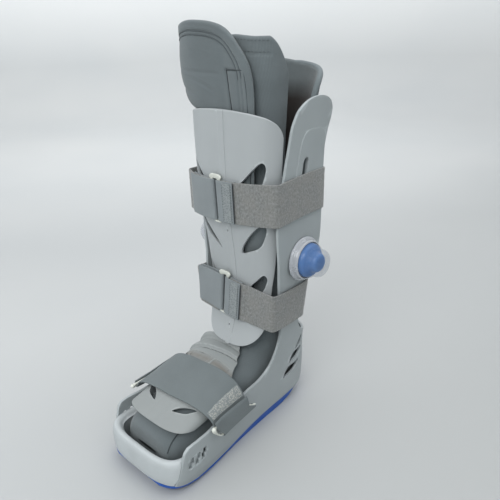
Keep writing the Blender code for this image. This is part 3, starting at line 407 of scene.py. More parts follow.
def resample(loop, count):
    lengths = [0.0]
    for a, b in zip(loop, loop[1:] + loop[:1]):
        lengths.append(lengths[-1] + math.dist(a, b))
    out = []
    k = 0
    for i in range(count):
        want = lengths[-1] * i / count
        while lengths[k + 1] < want:
            k += 1
        a, b = loop[k], loop[(k + 1) % len(loop)]
        t = (want - lengths[k]) / max(lengths[k + 1] - lengths[k], 1e-6)
        out.append((a[0] + (b[0] - a[0]) * t, a[1] + (b[1] - a[1]) * t))
    return out


class Round:
    """Length along a band's path round the leg, from a direction seen from above (0 is the shin)."""
    def __init__(self, middle, reach, degrees):
        self.low, self.high = middle - reach, middle + reach
        self.edges = []
        angle = math.radians(degrees)
        def off(p):
            turn = math.atan2(p[0], -p[1]) - angle
            return abs(math.atan2(math.sin(turn), math.cos(turn)))
        for level in (self.low, self.high):
            fine = soften(resample(strap_outline((level, middle)), 720), 5)
            first = min(range(len(fine)), key=lambda i: off(fine[i]))
            self.edges.append(fine[first:] + fine[:first])
        around = [sum(math.dist(p, q) for p, q in zip(e, e[1:] + e[:1])) for e in self.edges]
        self.length = sum(around) / 2
        self.step = self.length / 720

    def at(self, s, lift, z):
        """Point on the path at one height, moved outwards by the lift."""
        place = s / self.step
        share = clamp((z - self.low) / (self.high - self.low))
        found = []
        for points in self.edges:
            n = len(points)
            i = math.floor(place)
            t = place - i
            p, q = points[i % n], points[(i + 1) % n]
            back, ahead = points[(i - 4) % n], points[(i + 5) % n]
            tx, ty = ahead[0] - back[0], ahead[1] - back[1]
            size = math.hypot(tx, ty)
            found.append((p[0] + (q[0] - p[0]) * t + ty / size * lift, p[1] + (q[1] - p[1]) * t - tx / size * lift))
        (x0, y0), (x1, y1) = found
        return (x0 + (x1 - x0) * share, y0 + (y1 - y0) * share, z)


FELT_THICK = 2.0
BAND_CLEAR = 0.75
STRAP_REACH = 24.0
TAB_THICK = 1.3
BAR_RADIUS = 1.4
FOLD_RADIUS = BAR_RADIUS + GAP + TAB_THICK / 2
BAR_SHIFT = 4.6
BAR_LIFT = 0.6 + TAB_THICK / 2 + FOLD_RADIUS


def tab_line(sign, reach):
    """Inner layer, fold round the loop bar, outer layer; sign +1 is the right end."""
    line = []
    low, high = BAR_LIFT - FOLD_RADIUS, BAR_LIFT + FOLD_RADIUS
    for s in spread(reach, BAR_SHIFT + 1.0, 20):
        line.append((sign * s, low))
    for i in range(17):
        a = math.pi * i / 16
        line.append((sign * (BAR_SHIFT - FOLD_RADIUS * math.sin(a)), BAR_LIFT - FOLD_RADIUS * math.cos(a)))
    for s in spread(BAR_SHIFT + 1.0, reach, 20):
        line.append((sign * s, high))
    return line


PUMP_Y = 8.0
PUMP_Z = 200.0
FOOT_BASE = 57.0
FOOT_CLEAR = 0.5
FOOT_LAYER = 1.6
FOOT_WIDTH = 49.0
FOOT_SKEW = 12.0
FOOT_FRONT = -141.0
FOOT_ARCH = 0.80
RING_RADIUS = 1.2
FOOT_FOLD = RING_RADIUS + GAP + FOOT_LAYER / 2
FOOT_LIFT = FOOT_CLEAR + FOOT_LAYER / 2
RING_OVER = 0.09
FOOT_ENDS = [(1, 1.0, 0.64, 0.80), (-1, 0.72, 0.62, 0.67)]


def foot_point(share, v, lift):
    """share -1..1 from the left end to the right end, v 0 front edge to 1 rear edge."""
    y = FOOT_FRONT + FOOT_SKEW * max(share, 0.15 * share) + FOOT_WIDTH * v
    crown = TOE.at("crown", min(y, -60.0)) + 0.3 + lift
    wide = max(54.6, half_width(50.0, y, 0.0)) + lift
    if abs(share) > FOOT_ARCH:
        end = 44.0 + 8.0 * v
        t = (abs(share) - FOOT_ARCH) / (1 - FOOT_ARCH)
        return (math.copysign(wide, share), y + t * 8.0, FOOT_BASE + (end - FOOT_BASE) * t)
    a = share / FOOT_ARCH * math.pi / 2
    s, c = math.sin(abs(a)), math.cos(a)
    r = rounded(s, c, 2.7)
    return (math.copysign(wide * r * s, share), y, FOOT_BASE + (crown - FOOT_BASE) * r * c)


def fold_frame(sign, end, v):
    """Middle of the fold, the way on along the strap and the way out, at one place across it."""
    low = foot_point(sign * end, v, FOOT_LIFT)
    high = foot_point(sign * end, v, FOOT_LIFT + 2 * FOOT_FOLD)
    out = Vector(high) - Vector(low)
    out.normalize()
    on = Vector(low) - Vector(foot_point(sign * (end - 0.02), v, FOOT_LIFT))
    on.y = 0.0
    on -= out * on.dot(out)
    on.normalize()
    return Vector(low) + out * FOOT_FOLD, on, out


def foot_line(v):
    """Middle line of the strap from one free end to the other."""
    line = []
    for sign, end, stop, _ in reversed(FOOT_ENDS):
        part = [Vector(foot_point(sign * u, v, FOOT_LIFT + 2 * FOOT_FOLD)) for u in spread(stop, end, 14)]
        middle, on, out = fold_frame(sign, end, v)
        for k in range(1, 12):
            a = math.pi * k / 12
            part.append(middle + (out * math.cos(a) + on * math.sin(a)) * FOOT_FOLD)
        if sign < 0:
            line += part
            for u in spread(-end, FOOT_ENDS[0][1], 90):
                line.append(Vector(foot_point(u, v, FOOT_LIFT)))
        else:
            line += list(reversed(part))
    return line


def half_width(z, y, inset):
    """Half width of the moulding's plan outline at one height and one place along the foot."""
    side = side_widths(z, inset)
    toe_y, heel_y = STATIONS[0][1], STATIONS[-1][1]
    if y < toe_y:
        share = min((toe_y - y) / (toe_y - TOE_FRONT - inset), 1.0)
        return side.at("w", toe_y) * (1 - share ** TOE_POWER) ** (1 / TOE_POWER)
    if y > heel_y:
        share = min((y - heel_y) / (SHELL.at("rear", z) - inset - heel_y), 1.0)
        return side.at("w", heel_y) * (1 - share ** HEEL_POWER) ** (1 / HEEL_POWER)
    return side.at("w", y)


def soften(loop, reach):
    """Running mean along a closed loop of points."""
    n = len(loop)
    out = []
    for i in range(n):
        near = [loop[(i + k) % n] for k in range(-reach, reach + 1)]
        out.append((sum(p[0] for p in near) / len(near), sum(p[1] for p in near) / len(near)))
    return out


def place(p):
    return (p[0] * MM, (p[1] - ORIGIN_Y) * MM, p[2] * MM)


def ring_of(made, points):
    return [made.verts.new(place(p)) for p in points]


def bridge(made, a, b):
    """Faces between two closed rings with as many points."""
    count = len(a)
    return [made.faces.new((a[k], a[(k + 1) % count], b[(k + 1) % count], b[k])) for k in range(count)]


def skin(made, rings):
    """Faces along a row of closed rings, and one at each end."""
    for a, b in zip(rings, rings[1:]):
        bridge(made, a, b)
    made.faces.new(rings[0])
    made.faces.new(rings[-1])


def face_out(made):
    bmesh.ops.recalc_face_normals(made, faces=made.faces)
    if made.calc_volume(signed=True) < 0.0:
        bmesh.ops.reverse_faces(made, faces=made.faces)


def mesh_object(made, name):
    mesh = bpy.data.meshes.new(name)
    made.to_mesh(mesh)
    made.free()
    obj = bpy.data.objects.new(name, mesh)
    bpy.context.scene.collection.objects.link(obj)
    return obj


def running(points):
    """Length along a line at each of its points."""
    total = [0.0]
    for a, b in zip(points, points[1:]):
        total.append(total[-1] + (b - a).length)
    return total


def keep(made, name, mats, replaced=(), angle=40.0):
    """Turns a bmesh into a piece: normals out, smooth but for edges sharper than the angle."""
    face_out(made)
    limit = math.radians(angle)
    for face in made.faces:
        face.smooth = True
    for edge in made.edges:
        if len(edge.link_faces) == 2 and edge.calc_face_angle(0.0) > limit:
            edge.smooth = False
    obj = mesh_object(made, name)
    for mat in mats:
        obj.data.materials.append(mat)
    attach(obj, "root")
    if replaced:
        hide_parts(*replaced)
    return obj


def rounding(distance, radius):
    """Share of the full half thickness at a distance from a rounded edge."""
    t = clamp(distance / radius)
    return math.sqrt(max(1 - (1 - t) ** 2, 0.0))


def edge_dense(low, high, count, edge):
    """Values from low to high, with extra ones close to both ends, for a rounded edge."""
    steps = [0.0, 0.07, 0.25, 0.5, 0.78, 1.0]
    near = [low + edge * s for s in steps]
    far = [high - edge * s for s in reversed(steps)]
    return near + spread(low + edge, high - edge, count)[1:-1] + far


def pad(name, point, us, vs, thick, mats, replaced=(), closed=False, relief=None, radius=None, open_low=False,
        inner_mat=0, angle=50.0):
    """Closed sheet round a middle surface point(u, v, out), rounded along its edges.

    relief(u, v) gives how far the outer face stands out more. A closed sheet has no edge along u.
    """
    radius = radius or thick / 2
    nu, nv = len(us), len(vs)
    middle = [[Vector(point(u, v, 0.0)) for v in vs] for u in us]
    along_v = [running(row) for row in middle]
    along_u = [running([row[j] for row in middle]) for j in range(nv)]
    made = bmesh.new()
    uv_layer = made.loops.layers.uv.new("UVMap")
    skins = []
    for side in (1, -1):
        grid = []
        for i, u in enumerate(us):
            row = []
            for j, v in enumerate(vs):
                near = along_v[i][-1] - along_v[i][j]
                if not open_low:
                    near = min(along_v[i][j], near)
                if not closed:
                    near = min(near, along_u[j][i], along_u[j][-1] - along_u[j][i])
                half = thick / 2 * rounding(near, radius)
                extra = relief(u, v) * rounding(near, radius) if relief and side > 0 else 0.0
                row.append(made.verts.new(place(point(u, v, side * half + extra))))
            grid.append(row)
        skins.append(grid)
    for side, grid in enumerate(skins):
        for i in range(nu if closed else nu - 1):
            a, b = grid[i], grid[(i + 1) % nu]
            for j in range(nv - 1):
                corners = [a[j], b[j], b[j + 1], a[j + 1]]
                face = made.faces.new(corners if side == 0 else corners[::-1])
                face.material_index = inner_mat if side else 0
                marks = {a[j]: (i, j), b[j]: (i + 1, j), b[j + 1]: (i + 1, j + 1), a[j + 1]: (i, j + 1)}
                for loop in face.loops:
                    p, q = marks[loop.vert]
                    wide = along_u[q][p] if p < nu else along_u[q][-1]
                    loop[uv_layer].uv = (wide * MM, along_v[p % nu][q] * MM)
    if open_low:
        for grid in skins:
            made.faces.new([row[0] for row in grid])
    bmesh.ops.remove_doubles(made, verts=made.verts, dist=0.00001)
    return keep(made, name, mats, replaced, angle)


def tube(name, path, radius, mat, closed=False, sides=8, replaced=()):
    """Round tube along points in mm, with a UV in metres along it."""
    made = bmesh.new()
    uv_layer = made.loops.layers.uv.new("UVMap")
    n = len(path)
    points = [Vector(p) for p in path]
    normal = None
    rings = []
    total = running(points)
    for i, point in enumerate(points):
        if closed:
            along = points[(i + 1) % n] - points[i - 1]
        else:
            along = points[min(i + 1, n - 1)] - points[max(i - 1, 0)]
        along.normalize()
        if normal is None:
            normal = along.orthogonal().normalized()
        normal = (normal - along * normal.dot(along)).normalized()
        other = along.cross(normal)
        r = radius(i / max(n - 1, 1)) if callable(radius) else radius
        if not closed and i in (0, n - 1):
            r *= 0.6
        rings.append(ring_of(made, [point + normal * c * r + other * s * r for c, s in circle(sides)]))
    for i in range(n if closed else n - 1):
        a, b = rings[i], rings[(i + 1) % n]
        if closed and i == n - 1:
            gap = min(range(sides), key=lambda s: (b[s].co - a[0].co).length)
            b = b[gap:] + b[:gap]
        for k, face in enumerate(bridge(made, a, b)):
            for loop, uv in zip(face.loops, ((i, k), (i, k + 1), (i + 1, k + 1), (i + 1, k))):
                wide = total[uv[0]] if uv[0] < n else total[-1]
                loop[uv_layer].uv = (wide * MM, uv[1] / sides * 2 * math.pi * 0.001)
    if not closed:
        made.faces.new(rings[0])
        made.faces.new(rings[-1])
    return keep(made, name, [mat], replaced, 60.0)


def stitches(name, path, mat, length=2.6, gap=1.4, radius=0.28):
    """Row of short raised threads along a path in mm."""
    points = [Vector(p) for p in path]
    total = running(points)
    made = bmesh.new()

    def spot(s):
        k = 0
        while k < len(total) - 2 and total[k + 1] < s:
            k += 1
        t = (s - total[k]) / max(total[k + 1] - total[k], 1e-6)
        return points[k].lerp(points[k + 1], t)
    s = gap / 2
    while s + length < total[-1]:
        a, b = spot(s), spot(s + length)
        along = (b - a).normalized()
        normal = along.orthogonal().normalized()
        other = along.cross(normal)
        skin(made, [ring_of(made, [a.lerp(b, t) + (normal * c + other * d) * radius * r for c, d in circle(5)])
                    for t, r in ((0.0, 0.35), (0.2, 0.9), (0.5, 1.0), (0.8, 0.9), (1.0, 0.35))])
        s += length + gap
    return keep(made, name, [mat])


def loft(loops, name, cap="flat"):
    """Hard solid in work, as a plain mesh object: closed loops in order, closed at both ends."""
    made = bmesh.new()
    rings = [ring_of(made, loop) for loop in loops]
    count = len(rings[0])
    for a, b in zip(rings, rings[1:]):
        bridge(made, a, b)
    for ring in (rings[0], rings[-1]):
        if cap == "flat":
            made.faces.new(ring)
        else:
            for j in range(count // 2):
                corners = [ring[j], ring[j + 1], ring[count - 1 - j], ring[-j]]
                made.faces.new(sorted(set(corners), key=corners.index))
    bmesh.ops.remove_doubles(made, verts=made.verts, dist=0.00001)
    face_out(made)
    return mesh_object(made, name)


def prism(points, axis, low, high, name):
    """Solid between two depths along an axis, from an outline in the two others."""
    k = "xyz".index(axis)
    return loft([[(*p[:k], depth, *p[k:]) for p in points] for depth in (low, high)], name)


def cut(target, cutter, kind="DIFFERENCE"):
    mod = target.modifiers.new(kind, "BOOLEAN")
    mod.operation = kind
    mod.solver = "EXACT"
    mod.object = cutter
    bpy.context.view_layer.update()
    depsgraph = bpy.context.evaluated_depsgraph_get()
    mesh = bpy.data.meshes.new_from_object(target.evaluated_get(depsgraph))
    target.modifiers.remove(mod)
    target.data = mesh
    bpy.data.objects.remove(cutter, do_unlink=True)


def harden(obj, name, mats, replaced, width, angle=38.0):
    """Ends a hard piece: small rounded edges by a bevel, then smooth shading up to the angle."""
    made = bmesh.new()
    made.from_mesh(obj.data)
    bmesh.ops.remove_doubles(made, verts=made.verts, dist=0.00003)
    bmesh.ops.dissolve_degenerate(made, edges=made.edges, dist=0.00002)
    bpy.data.objects.remove(obj, do_unlink=True)
    limit = math.radians(angle)
    sharp = [e for e in made.edges if len(e.link_faces) == 2 and e.calc_face_angle(0.0) > limit]
    if width > 0.0:
        bmesh.ops.bevel(made, geom=sharp, offset=width * MM, offset_type="OFFSET", segments=2, profile=0.5,
                        affect="EDGES", clamp_overlap=True)
    return keep(made, name, mats, replaced, angle)


def rgb(red, green, blue):
    """Screen colour, 0 to 255, as the linear colour that a shader takes."""
    out = []
    for value in (red, green, blue):
        v = value / 255
        out.append(v / 12.92 if v <= 0.04045 else ((v + 0.055) / 1.055) ** 2.4)
    return tuple(out) + (1.0,)


def shade_of(colour, share):
    return tuple(min(c * share, 1.0) for c in colour[:3]) + (1.0,)


class Finish:
    """Wires one material's nodes."""
    def __init__(self, name, roughness, coords="Object"):
        self.mat = bpy.data.materials.new(name)
        self.mat.use_nodes = True
        self.tree = self.mat.node_tree
        self.shader = self.tree.nodes["Principled BSDF"]
        self.fix(Roughness=roughness)
        self.coords = self.node("TexCoord").outputs[coords]
        self.height = None

    def feed(self, made, sockets):
        """Each socket, named with a low line for each space, takes a value or another node's output."""
        for key, value in sockets.items():
            socket = made.inputs[key.replace("_", " ")]
            if isinstance(value, bpy.types.NodeSocket):
                self.tree.links.new(value, socket)
            else:
                socket.default_value = value

    def fix(self, **sockets):
        self.feed(self.shader, sockets)

    def node(self, kind, settings=(), **sockets):
        made = self.tree.nodes.new("ShaderNode" + kind)
        for key, value in settings:
            setattr(made, key, value)
        self.feed(made, sockets)
        return made

    def noise(self, scale, detail=2.0, rough=0.5, stretch=None):
        spot = self.node("Mapping", Scale=stretch, Vector=self.coords).outputs["Vector"] if stretch else self.coords
        return self.node("TexNoise", Vector=spot, Scale=scale, Detail=detail, Roughness=rough).outputs["Fac"]

    def axis(self, letter):
        """One coordinate in the part's frame, in metres."""
        return self.node("SeparateXYZ", Vector=self.node("TexCoord").outputs["Object"]).outputs[letter]

    def waves(self, pitch, direction, distortion):
        """Bands with a pitch in metres."""
        made = self.node("TexWave", (("wave_type", "BANDS"), ("bands_direction", direction)), Vector=self.coords,
                         Scale=2 * math.pi / (20 * pitch), Distortion=distortion, Detail=1.0)
        return made.outputs["Fac"]

    def cells(self, pitch):
        return self.node("TexVoronoi", Vector=self.coords, Scale=1 / pitch).outputs["Distance"]

    def span(self, source, low, high, out_low, out_high):
        made = self.node("MapRange", Value=source, From_Min=low, From_Max=high, To_Min=out_low, To_Max=out_high)
        return made.outputs["Result"]

    def cloud(self, scale, detail, low, high):
        """Soft noise between two values."""
        return self.span(self.noise(scale, detail), 0.3, 0.7, low, high)

    def product(self, first, second):
        made = self.node("Math", (("operation", "MULTIPLY"),))
        self.tree.links.new(first, made.inputs[0])
        self.tree.links.new(second, made.inputs[1])
        return made.outputs["Value"]

    def mix(self, factor, first, second, blend="MIX"):
        made = self.node("MixRGB", (("blend_type", blend),), Fac=factor, Color1=first, Color2=second)
        return made.outputs["Color"]

    def times(self, first, second):
        return self.mix(1.0, first, second, "MULTIPLY")

    def colour(self, source):
        self.fix(Base_Color=source)

    def edges(self, colour, light):
        """Rubbed, lighter colour on outward edges."""
        worn = self.span(self.node("NewGeometry").outputs["Pointiness"], 0.515, 0.58, 0.0, 0.75)
        return self.mix(worn, colour, light)

    def rough(self, source, low, high):
        self.fix(Roughness=self.span(source, 0.3, 0.7, low, high))

    def bump(self, source, strength, distance):
        below = {"Normal": self.height} if self.height else {}
        made = self.node("Bump", Height=source, Strength=strength, Distance=distance, **below)
        self.height = made.outputs["Normal"]
        self.fix(Normal=self.height)


def plastic(name, colour, roughness, grain=0.10, coat=0.0, spread_of=0.035, painted_recess_shade=None):
    f = Finish(name, roughness)
    cloudy = f.cloud(16.0, 3.0, 1 - spread_of, 1 + spread_of)
    fine = f.noise(1500.0, 2.0)
    tint = f.mix(f.span(f.noise(5.0, 1.0), 0.35, 0.65, 0.0, 1.0), colour, shade_of(colour, 0.95))
    grey = f.times(tint, cloudy)
    # Painted shade: inside a band along Y the colour turns towards a brown shadow tone, mottled by noise, where the
    # toe cover's recess lies behind the lower strap.
    if painted_recess_shade:
        low, middle, high, shade_brown = painted_recess_shade
        along = f.axis("Y")
        inside = f.product(f.span(along, low, middle, 0.0, 1.0), f.span(along, middle, high, 1.0, 0.0))
        grey = f.mix(f.product(inside, f.span(f.noise(60.0, 3.0), 0.3, 0.6, 0.35, 0.75)), grey, shade_brown)
    f.colour(f.edges(grey, shade_of(colour, 1.28)))
    f.rough(f.noise(55.0, 4.0), roughness - 0.06, roughness + 0.07)
    f.bump(fine, grain, 0.0002)
    f.bump(f.noise(90.0, 2.0), 0.05, 0.0006)
    f.fix(Coat_Weight=coat)
    return f.mat


def rubber(name, colour, roughness):
    f = Finish(name, roughness)
    cloudy = f.cloud(30.0, 4.0, 0.93, 1.05)
    f.colour(f.edges(f.times(colour, cloudy), shade_of(colour, 1.18)))
    f.rough(f.noise(80.0, 3.0), roughness - 0.08, roughness + 0.08)
    f.bump(f.noise(900.0, 3.0), 0.16, 0.0003)
    return f.mat


def knit(name, colour, pitch=0.0013, depth=0.45, deep=None):
    """Fine knit over foam: stitch rows both ways, a fuzzy surface and soft shade changes. A deep colour, if given, is
    painted shadow low inside the boot.
    """
    f = Finish(name, 0.93, "UV")
    rows = f.product(f.waves(pitch, "X", 0.6), f.waves(pitch * 0.8, "Y", 0.6))
    fuzz = f.noise(850.0, 4.0, 0.65)
    cloudy = f.cloud(22.0, 4.0, 0.93, 1.07)
    yarn = f.mix(f.span(rows, 0.0, 1.0, 0.0, 1.0), shade_of(colour, 0.80), shade_of(colour, 1.16))
    yarn = f.mix(f.span(fuzz, 0.35, 0.65, 0.0, 0.35), yarn, shade_of(colour, 0.78))
    shaded = f.times(yarn, cloudy)
    # Painted shadow: below a height of about 0.36 to 0.38 m the knit darkens to the deep colour, for the shade deep
    # inside the boot.
    if deep:
        height = f.axis("Z")
        shaded = f.mix(f.span(height, 0.358, 0.380, 0.0, 1.0), f.mix(0.5, deep, yarn, "MULTIPLY"), shaded)
    f.colour(shaded)
    f.bump(rows, depth, 0.0005)
    f.bump(fuzz, 0.25, 0.0004)
    f.fix(Sheen_Weight=0.22, Sheen_Roughness=0.6, Specular_IOR_Level=0.2)
    return f.mat


def felt(name, colour):
    """Brushed loop felt: pale and dark fibres in small clouds, drawn out along the strap."""
    f = Finish(name, 0.96, "UV")
    clouds = f.noise(430.0, 5.0, 0.7, (1.25, 0.75, 1.0))
    fibres = f.noise(1100.0, 4.0, 0.7, (1.0, 0.5, 1.0))
    dark = f.mix(f.span(clouds, 0.36, 0.64, 0.0, 1.0), shade_of(colour, 0.66), shade_of(colour, 1.38))
    both = f.mix(f.span(fibres, 0.35, 0.65, 0.0, 0.6), dark, shade_of(colour, 0.72))
    warm = f.mix(f.span(f.noise(60.0, 3.0), 0.4, 0.6, 0.0, 0.25), both, rgb(140, 138, 133))
    f.colour(warm)
    f.bump(clouds, 0.5, 0.0008)
    f.bump(fibres, 0.4, 0.0004)
    f.fix(Sheen_Weight=0.35, Sheen_Roughness=0.5, Specular_IOR_Level=0.15)
    return f.mat


def webbing(name, colour, rib=0.0016, depth=0.35):
    """Woven tape: ribs across the length, a finer weft and a little fuzz."""
    f = Finish(name, 0.82, "UV")
    ribs = f.waves(rib, "X", 0.25)
    weft = f.waves(rib * 0.5, "Y", 0.4)
    both = f.product(ribs, f.span(weft, 0.0, 1.0, 0.6, 1.0))
    fuzz = f.noise(600.0, 4.0, 0.6)
    cloudy = f.cloud(35.0, 3.0, 0.95, 1.05)
    yarn = f.mix(both, shade_of(colour, 0.86), shade_of(colour, 1.10))
    yarn = f.mix(f.span(fuzz, 0.35, 0.65, 0.0, 0.25), yarn, shade_of(colour, 0.84))
    f.colour(f.times(yarn, cloudy))
    f.bump(both, depth, 0.0003)
    f.bump(fuzz, 0.15, 0.0003)
    f.fix(Sheen_Weight=0.12, Specular_IOR_Level=0.3)
    return f.mat


def clear(name, colour, roughness, through, coat):
    f = Finish(name, roughness)
    cloudy = f.cloud(70.0, 3.0, 0.94, 1.05)
    f.colour(f.edges(f.times(colour, cloudy), shade_of(colour, 1.3)))
    f.rough(f.noise(120.0, 3.0), roughness - 0.05, roughness + 0.08)
    f.bump(f.noise(260.0, 2.0), 0.04, 0.0003)
    f.fix(Transmission_Weight=through, Coat_Weight=coat, Coat_Roughness=0.12, IOR=1.45)
    return f.mat


SHELL_MAT = plastic("shell_plastic", rgb(160, 167, 169), 0.50)
PLATE_MAT = plastic("plate_plastic", rgb(170, 175, 177), 0.48)
# The toe cover's last values paint brown shade into its recess behind the lower strap.
TOE_MAT = plastic("toe_plastic", rgb(146, 151, 151), 0.52, painted_recess_shade=(-0.040, -0.029, -0.022, rgb(118, 112, 104)))
BUMPER_MAT = rubber("bumper_rubber", rgb(183, 189, 191), 0.58)
SOLE_MAT = rubber("sole_rubber", rgb(26, 84, 172), 0.5)
LINER_MAT = knit("liner_fabric", rgb(110, 119, 122))
BINDING_MAT = webbing("liner_binding", rgb(116, 125, 128), 0.0011)
# The inside knit's deep colour is painted shadow, dark brown low inside the boot.
INSIDE_MAT = knit("liner_inside", rgb(106, 114, 116), 0.0016, deep=rgb(52, 44, 39))
PIPING_MAT = webbing("liner_piping", rgb(88, 95, 98), 0.0012)
SEAM_MAT = webbing("liner_seam", rgb(66, 72, 75), 0.0012)
FELT_MAT = felt("strap_felt", rgb(133, 135, 134))
TAB_MAT = webbing("strap_web", rgb(138, 145, 148), 0.0013)
FOOT_MAT = webbing("foot_web", rgb(113, 121, 123), 0.0014)
THREAD_MAT = webbing("thread", rgb(176, 182, 182), 0.0007)
DARK_THREAD_MAT = webbing("dark_thread", rgb(92, 98, 100), 0.0007)
LOOP_MAT = clear("loop_plastic", rgb(204, 207, 199), 0.34, 0.0, 0.2)
PUMP_COVER_MAT = clear("pump_cover", rgb(150, 158, 168), 0.18, 0.0, 0.3)
PUMP_COVER_MAT.node_tree.nodes["Principled BSDF"].inputs["Alpha"].default_value = 0.24
PUMP_CLEAR_MAT = clear("pump_clear", rgb(196, 200, 206), 0.22, 0.35, 0.5)
PUMP_BLUE_MAT = clear("pump_blue", rgb(20, 104, 178), 0.4, 0.0, 0.0)


def patch_finish(name, colour, speck):
    """Hook patch: small pale and dark dots on the tape."""
    f = Finish(name, 0.9, "UV")
    dots = f.cells(0.0013)
    pale = f.mix(f.span(dots, 0.25, 0.5, 0.0, 1.0), speck, shade_of(colour, 0.92))
    f.colour(f.mix(f.span(f.noise(420.0, 3.0), 0.52, 0.68, 0.0, 0.5), pale, colour))
    f.bump(dots, 0.5, 0.0005)
    f.fix(Specular_IOR_Level=0.25)
    return f.mat


PATCH_MAT = patch_finish("foot_patch", rgb(136, 142, 143), rgb(182, 182, 174))
HOOK_MAT = patch_finish("strap_hook", rgb(150, 156, 157), rgb(112, 119, 123))


# Hard pieces.
PANEL_FRONT = Table(("z", "y"), [(250, -16.0), (270, -12.0), (296, -6.8), (328, 0.9), (336, 6.0)])
PANEL_RISE = 0.6
SLOT_LINE = ((254.0, 1.1), (308.2, 8.9))
SLOT_HALF = 4.4
LEFT_FRONT = [(-60, 163), (-31.5, 163), (-27, 172), (-24, 190), (-22.5, 225), (-21.5, 255), (-21.5, 280),
              (-24, 296), (-29, 306), (-60, 306)]


def panel_slab(sign):
    """Shallow raised panel on one upright's outer face."""
    rings = []
    for z in spread(247.0, 338.8, 40):
        front = PANEL_FRONT.at("y", z)
        if z > 334.0:
            front = 15.0 - (15.0 - front) * math.sqrt(max(1 - ((z - 334.0) / 5.0) ** 2, 0.02))
            rear = UPRIGHT_REAR.at("y", z) - 0.4 - 2.6 * (z - 334.0)
        else:
            rear = UPRIGHT_REAR.at("y", z) - 0.4
        ring = [(sign * half_width(z, y, -PANEL_RISE), y, z) for y in spread(front, rear, 24)]
        inner = [(sign * half_width(z, y, 1.5), y, z) for y in spread(front, rear, 24)]
        rings.append(ring + inner[::-1])
    return loft(rings, "panel")


def slot_outline():
    (low_z, low_y), (high_z, high_y) = SLOT_LINE

    def middle(z):
        return low_y + (high_y - low_y) * (z - low_z) / (high_z - low_z)
    top = [(middle(306 + 5 * math.sin(math.pi * k / 10)) - SLOT_HALF * math.cos(math.pi * k / 10),
            306 + 5 * math.sin(math.pi * k / 10)) for k in range(11)]
    return [(middle(254) - SLOT_HALF, 254.0)] + top + [(middle(254) + SLOT_HALF, 254.0)]


def taller(points, share):
    middle = sum(z for _, z in points) / len(points)
    return [(y, middle + (z - middle) * share) for y, z in points]


def fine_levels():
    """Heights of the moulding's sections, closest where its panels are."""
    out = [-2.0, 0.5, 3.0, 5.5]
    for low, high, count in ((8.0, 60.0, 22), (64.0, 240.0, 36), (243.0, 345.0, 69), (349.0, 380.0, 8)):
        out += spread(low, high, count)
    return out


def dressed_shell():
    outer = loft([shell_loop(z, 0.0) for z in fine_levels()], "shell_work", "strips")
    floor = Table(("y", "z"), [(y, SOLE.at("top", y) + GAP + FLOOR_TOP_RISE) for y in SOLE.keys])
    hollow = []
    for share in (0.0, 0.3, 0.65):
        guide = shell_loop(18.0 + 16.0 * share, SHELL_WALL)
        hollow.append([(x, y, floor.at("z", y) + (34.0 - floor.at("z", y)) * share) for x, y, _ in guide])
    for z in spread(34.0, 384.0, 60):
        hollow.append([(x, y, z) for x, y, _ in shell_loop(min(z, 380.0), SHELL_WALL)])
    cut(outer, prism(shell_side_outline(), "x", -90.0, 90.0, "side"), "INTERSECT")
    cut(outer, loft(hollow, "hollow", "strips"))
    for sign in (1, -1):
        low, high = (30.0, 80.0) if sign > 0 else (-80.0, -30.0)
        for vent in HEEL_VENTS:
            cut(outer, prism(smooth_line(taller(vent, 1.7), 7, closed=True), "x", low, high, "vent"))
        for y, z in TOE_NOTCHES:
            cut(outer, prism([(y + a, z + b) for a, b in NOTCH], "x", low, high, "notch"))
        cut(outer, panel_slab(sign), "UNION")
        cut(outer, prism(slot_outline(), "x", low, high, "slot"))
    cut(outer, prism(LEFT_FRONT, "x", -90.0, -30.0, "left_front"))
    return harden(outer, "shell", [SHELL_MAT], ["rear_shell"], 0.55)


TREAD_DEEP, TREAD_PITCH = 0.7, 5.5


def dressed_outsole():
    made = bmesh.new()
    rings = []
    for y in spread(-190.0, 52.0, 110):
        bottom, top = SOLE.at("bottom", y), SOLE.at("top", y)
        half = half_width(8.0, y, 0.5)
        low = half - 3.0
        tread = TREAD_DEEP if int((y + 400) / TREAD_PITCH) % 2 else 0.0
        right = [(half, top), (half + 0.1, top - 0.8), (half - 0.4, top - 1.9), (low + 0.8, bottom + 0.35),
                 (low, bottom), (low - 5.0, bottom), (low - 6.0, bottom + tread), (3.5, bottom + tread), (2.5, bottom)]
        ring = [(x, y, z) for x, z in right] + [(-x, y, z) for x, z in reversed(right)]
        rings.append(ring_of(made, ring))
    skin(made, rings)
    return keep(made, "sole", [SOLE_MAT], ["outsole"], 35.0)


def dressed_bumper():
    profile = [BUMPER[0]] + smooth_line(BUMPER[1:-1], 4) + [BUMPER[-1]]
    outlines = {off: shell_loop(BUMPER_BASE + rise + 2.0, off) for off, rise in profile}
    count = 17
    stations = []
    for i in list(range(count, 0, -1)) + [0] + [-k for k in range(1, count + 1)]:
        ring = []
        for off, rise in profile:
            x, y, _ = outlines[off][i]
            if abs(i) == count:
                y = BUMPER_BACK
            ring.append((x, y, max(BUMPER_BASE + rise, SOLE.at("top", y) + 3 * GAP)))
        stations.append(ring)
    work = loft(stations, "bumper_work")
    slab = []
    for y in (SHELL_FRONT[0][0] - GAP, -176.0, -168.0, -160.0, -150.0, -140.0):
        top = SOLE.at("top", y) + 3 * GAP + FLOOR_TOP_RISE
        slab.append([(-75.0, y, -5.0), (-75.0, y, top), (75.0, y, top), (75.0, y, -5.0)])
    cut(work, loft(slab, "room"))
    for sign in (1, -1):
        rings = []
        for z in spread(5.0, 56.0, 18):
            front = SEAM.at("y", z) - GAP
            ring = [(sign * half_width(z, y, SHELL_WALL + GAP), y, z) for y in spread(front, -130.0, 20)]
            rings.append(ring + [(sign * 75.0, -130.0, z), (sign * 75.0, front, z)])
        cut(work, loft(rings, "seam"))
    return harden(work, "bumper", [BUMPER_MAT], ["toe_bumper"], 0.5)


RIDGE_RISE, RIDGE_HALF, RIDGE_AT = 1.2, 0.07, 0.02
DOT_RADIUS = 1.3


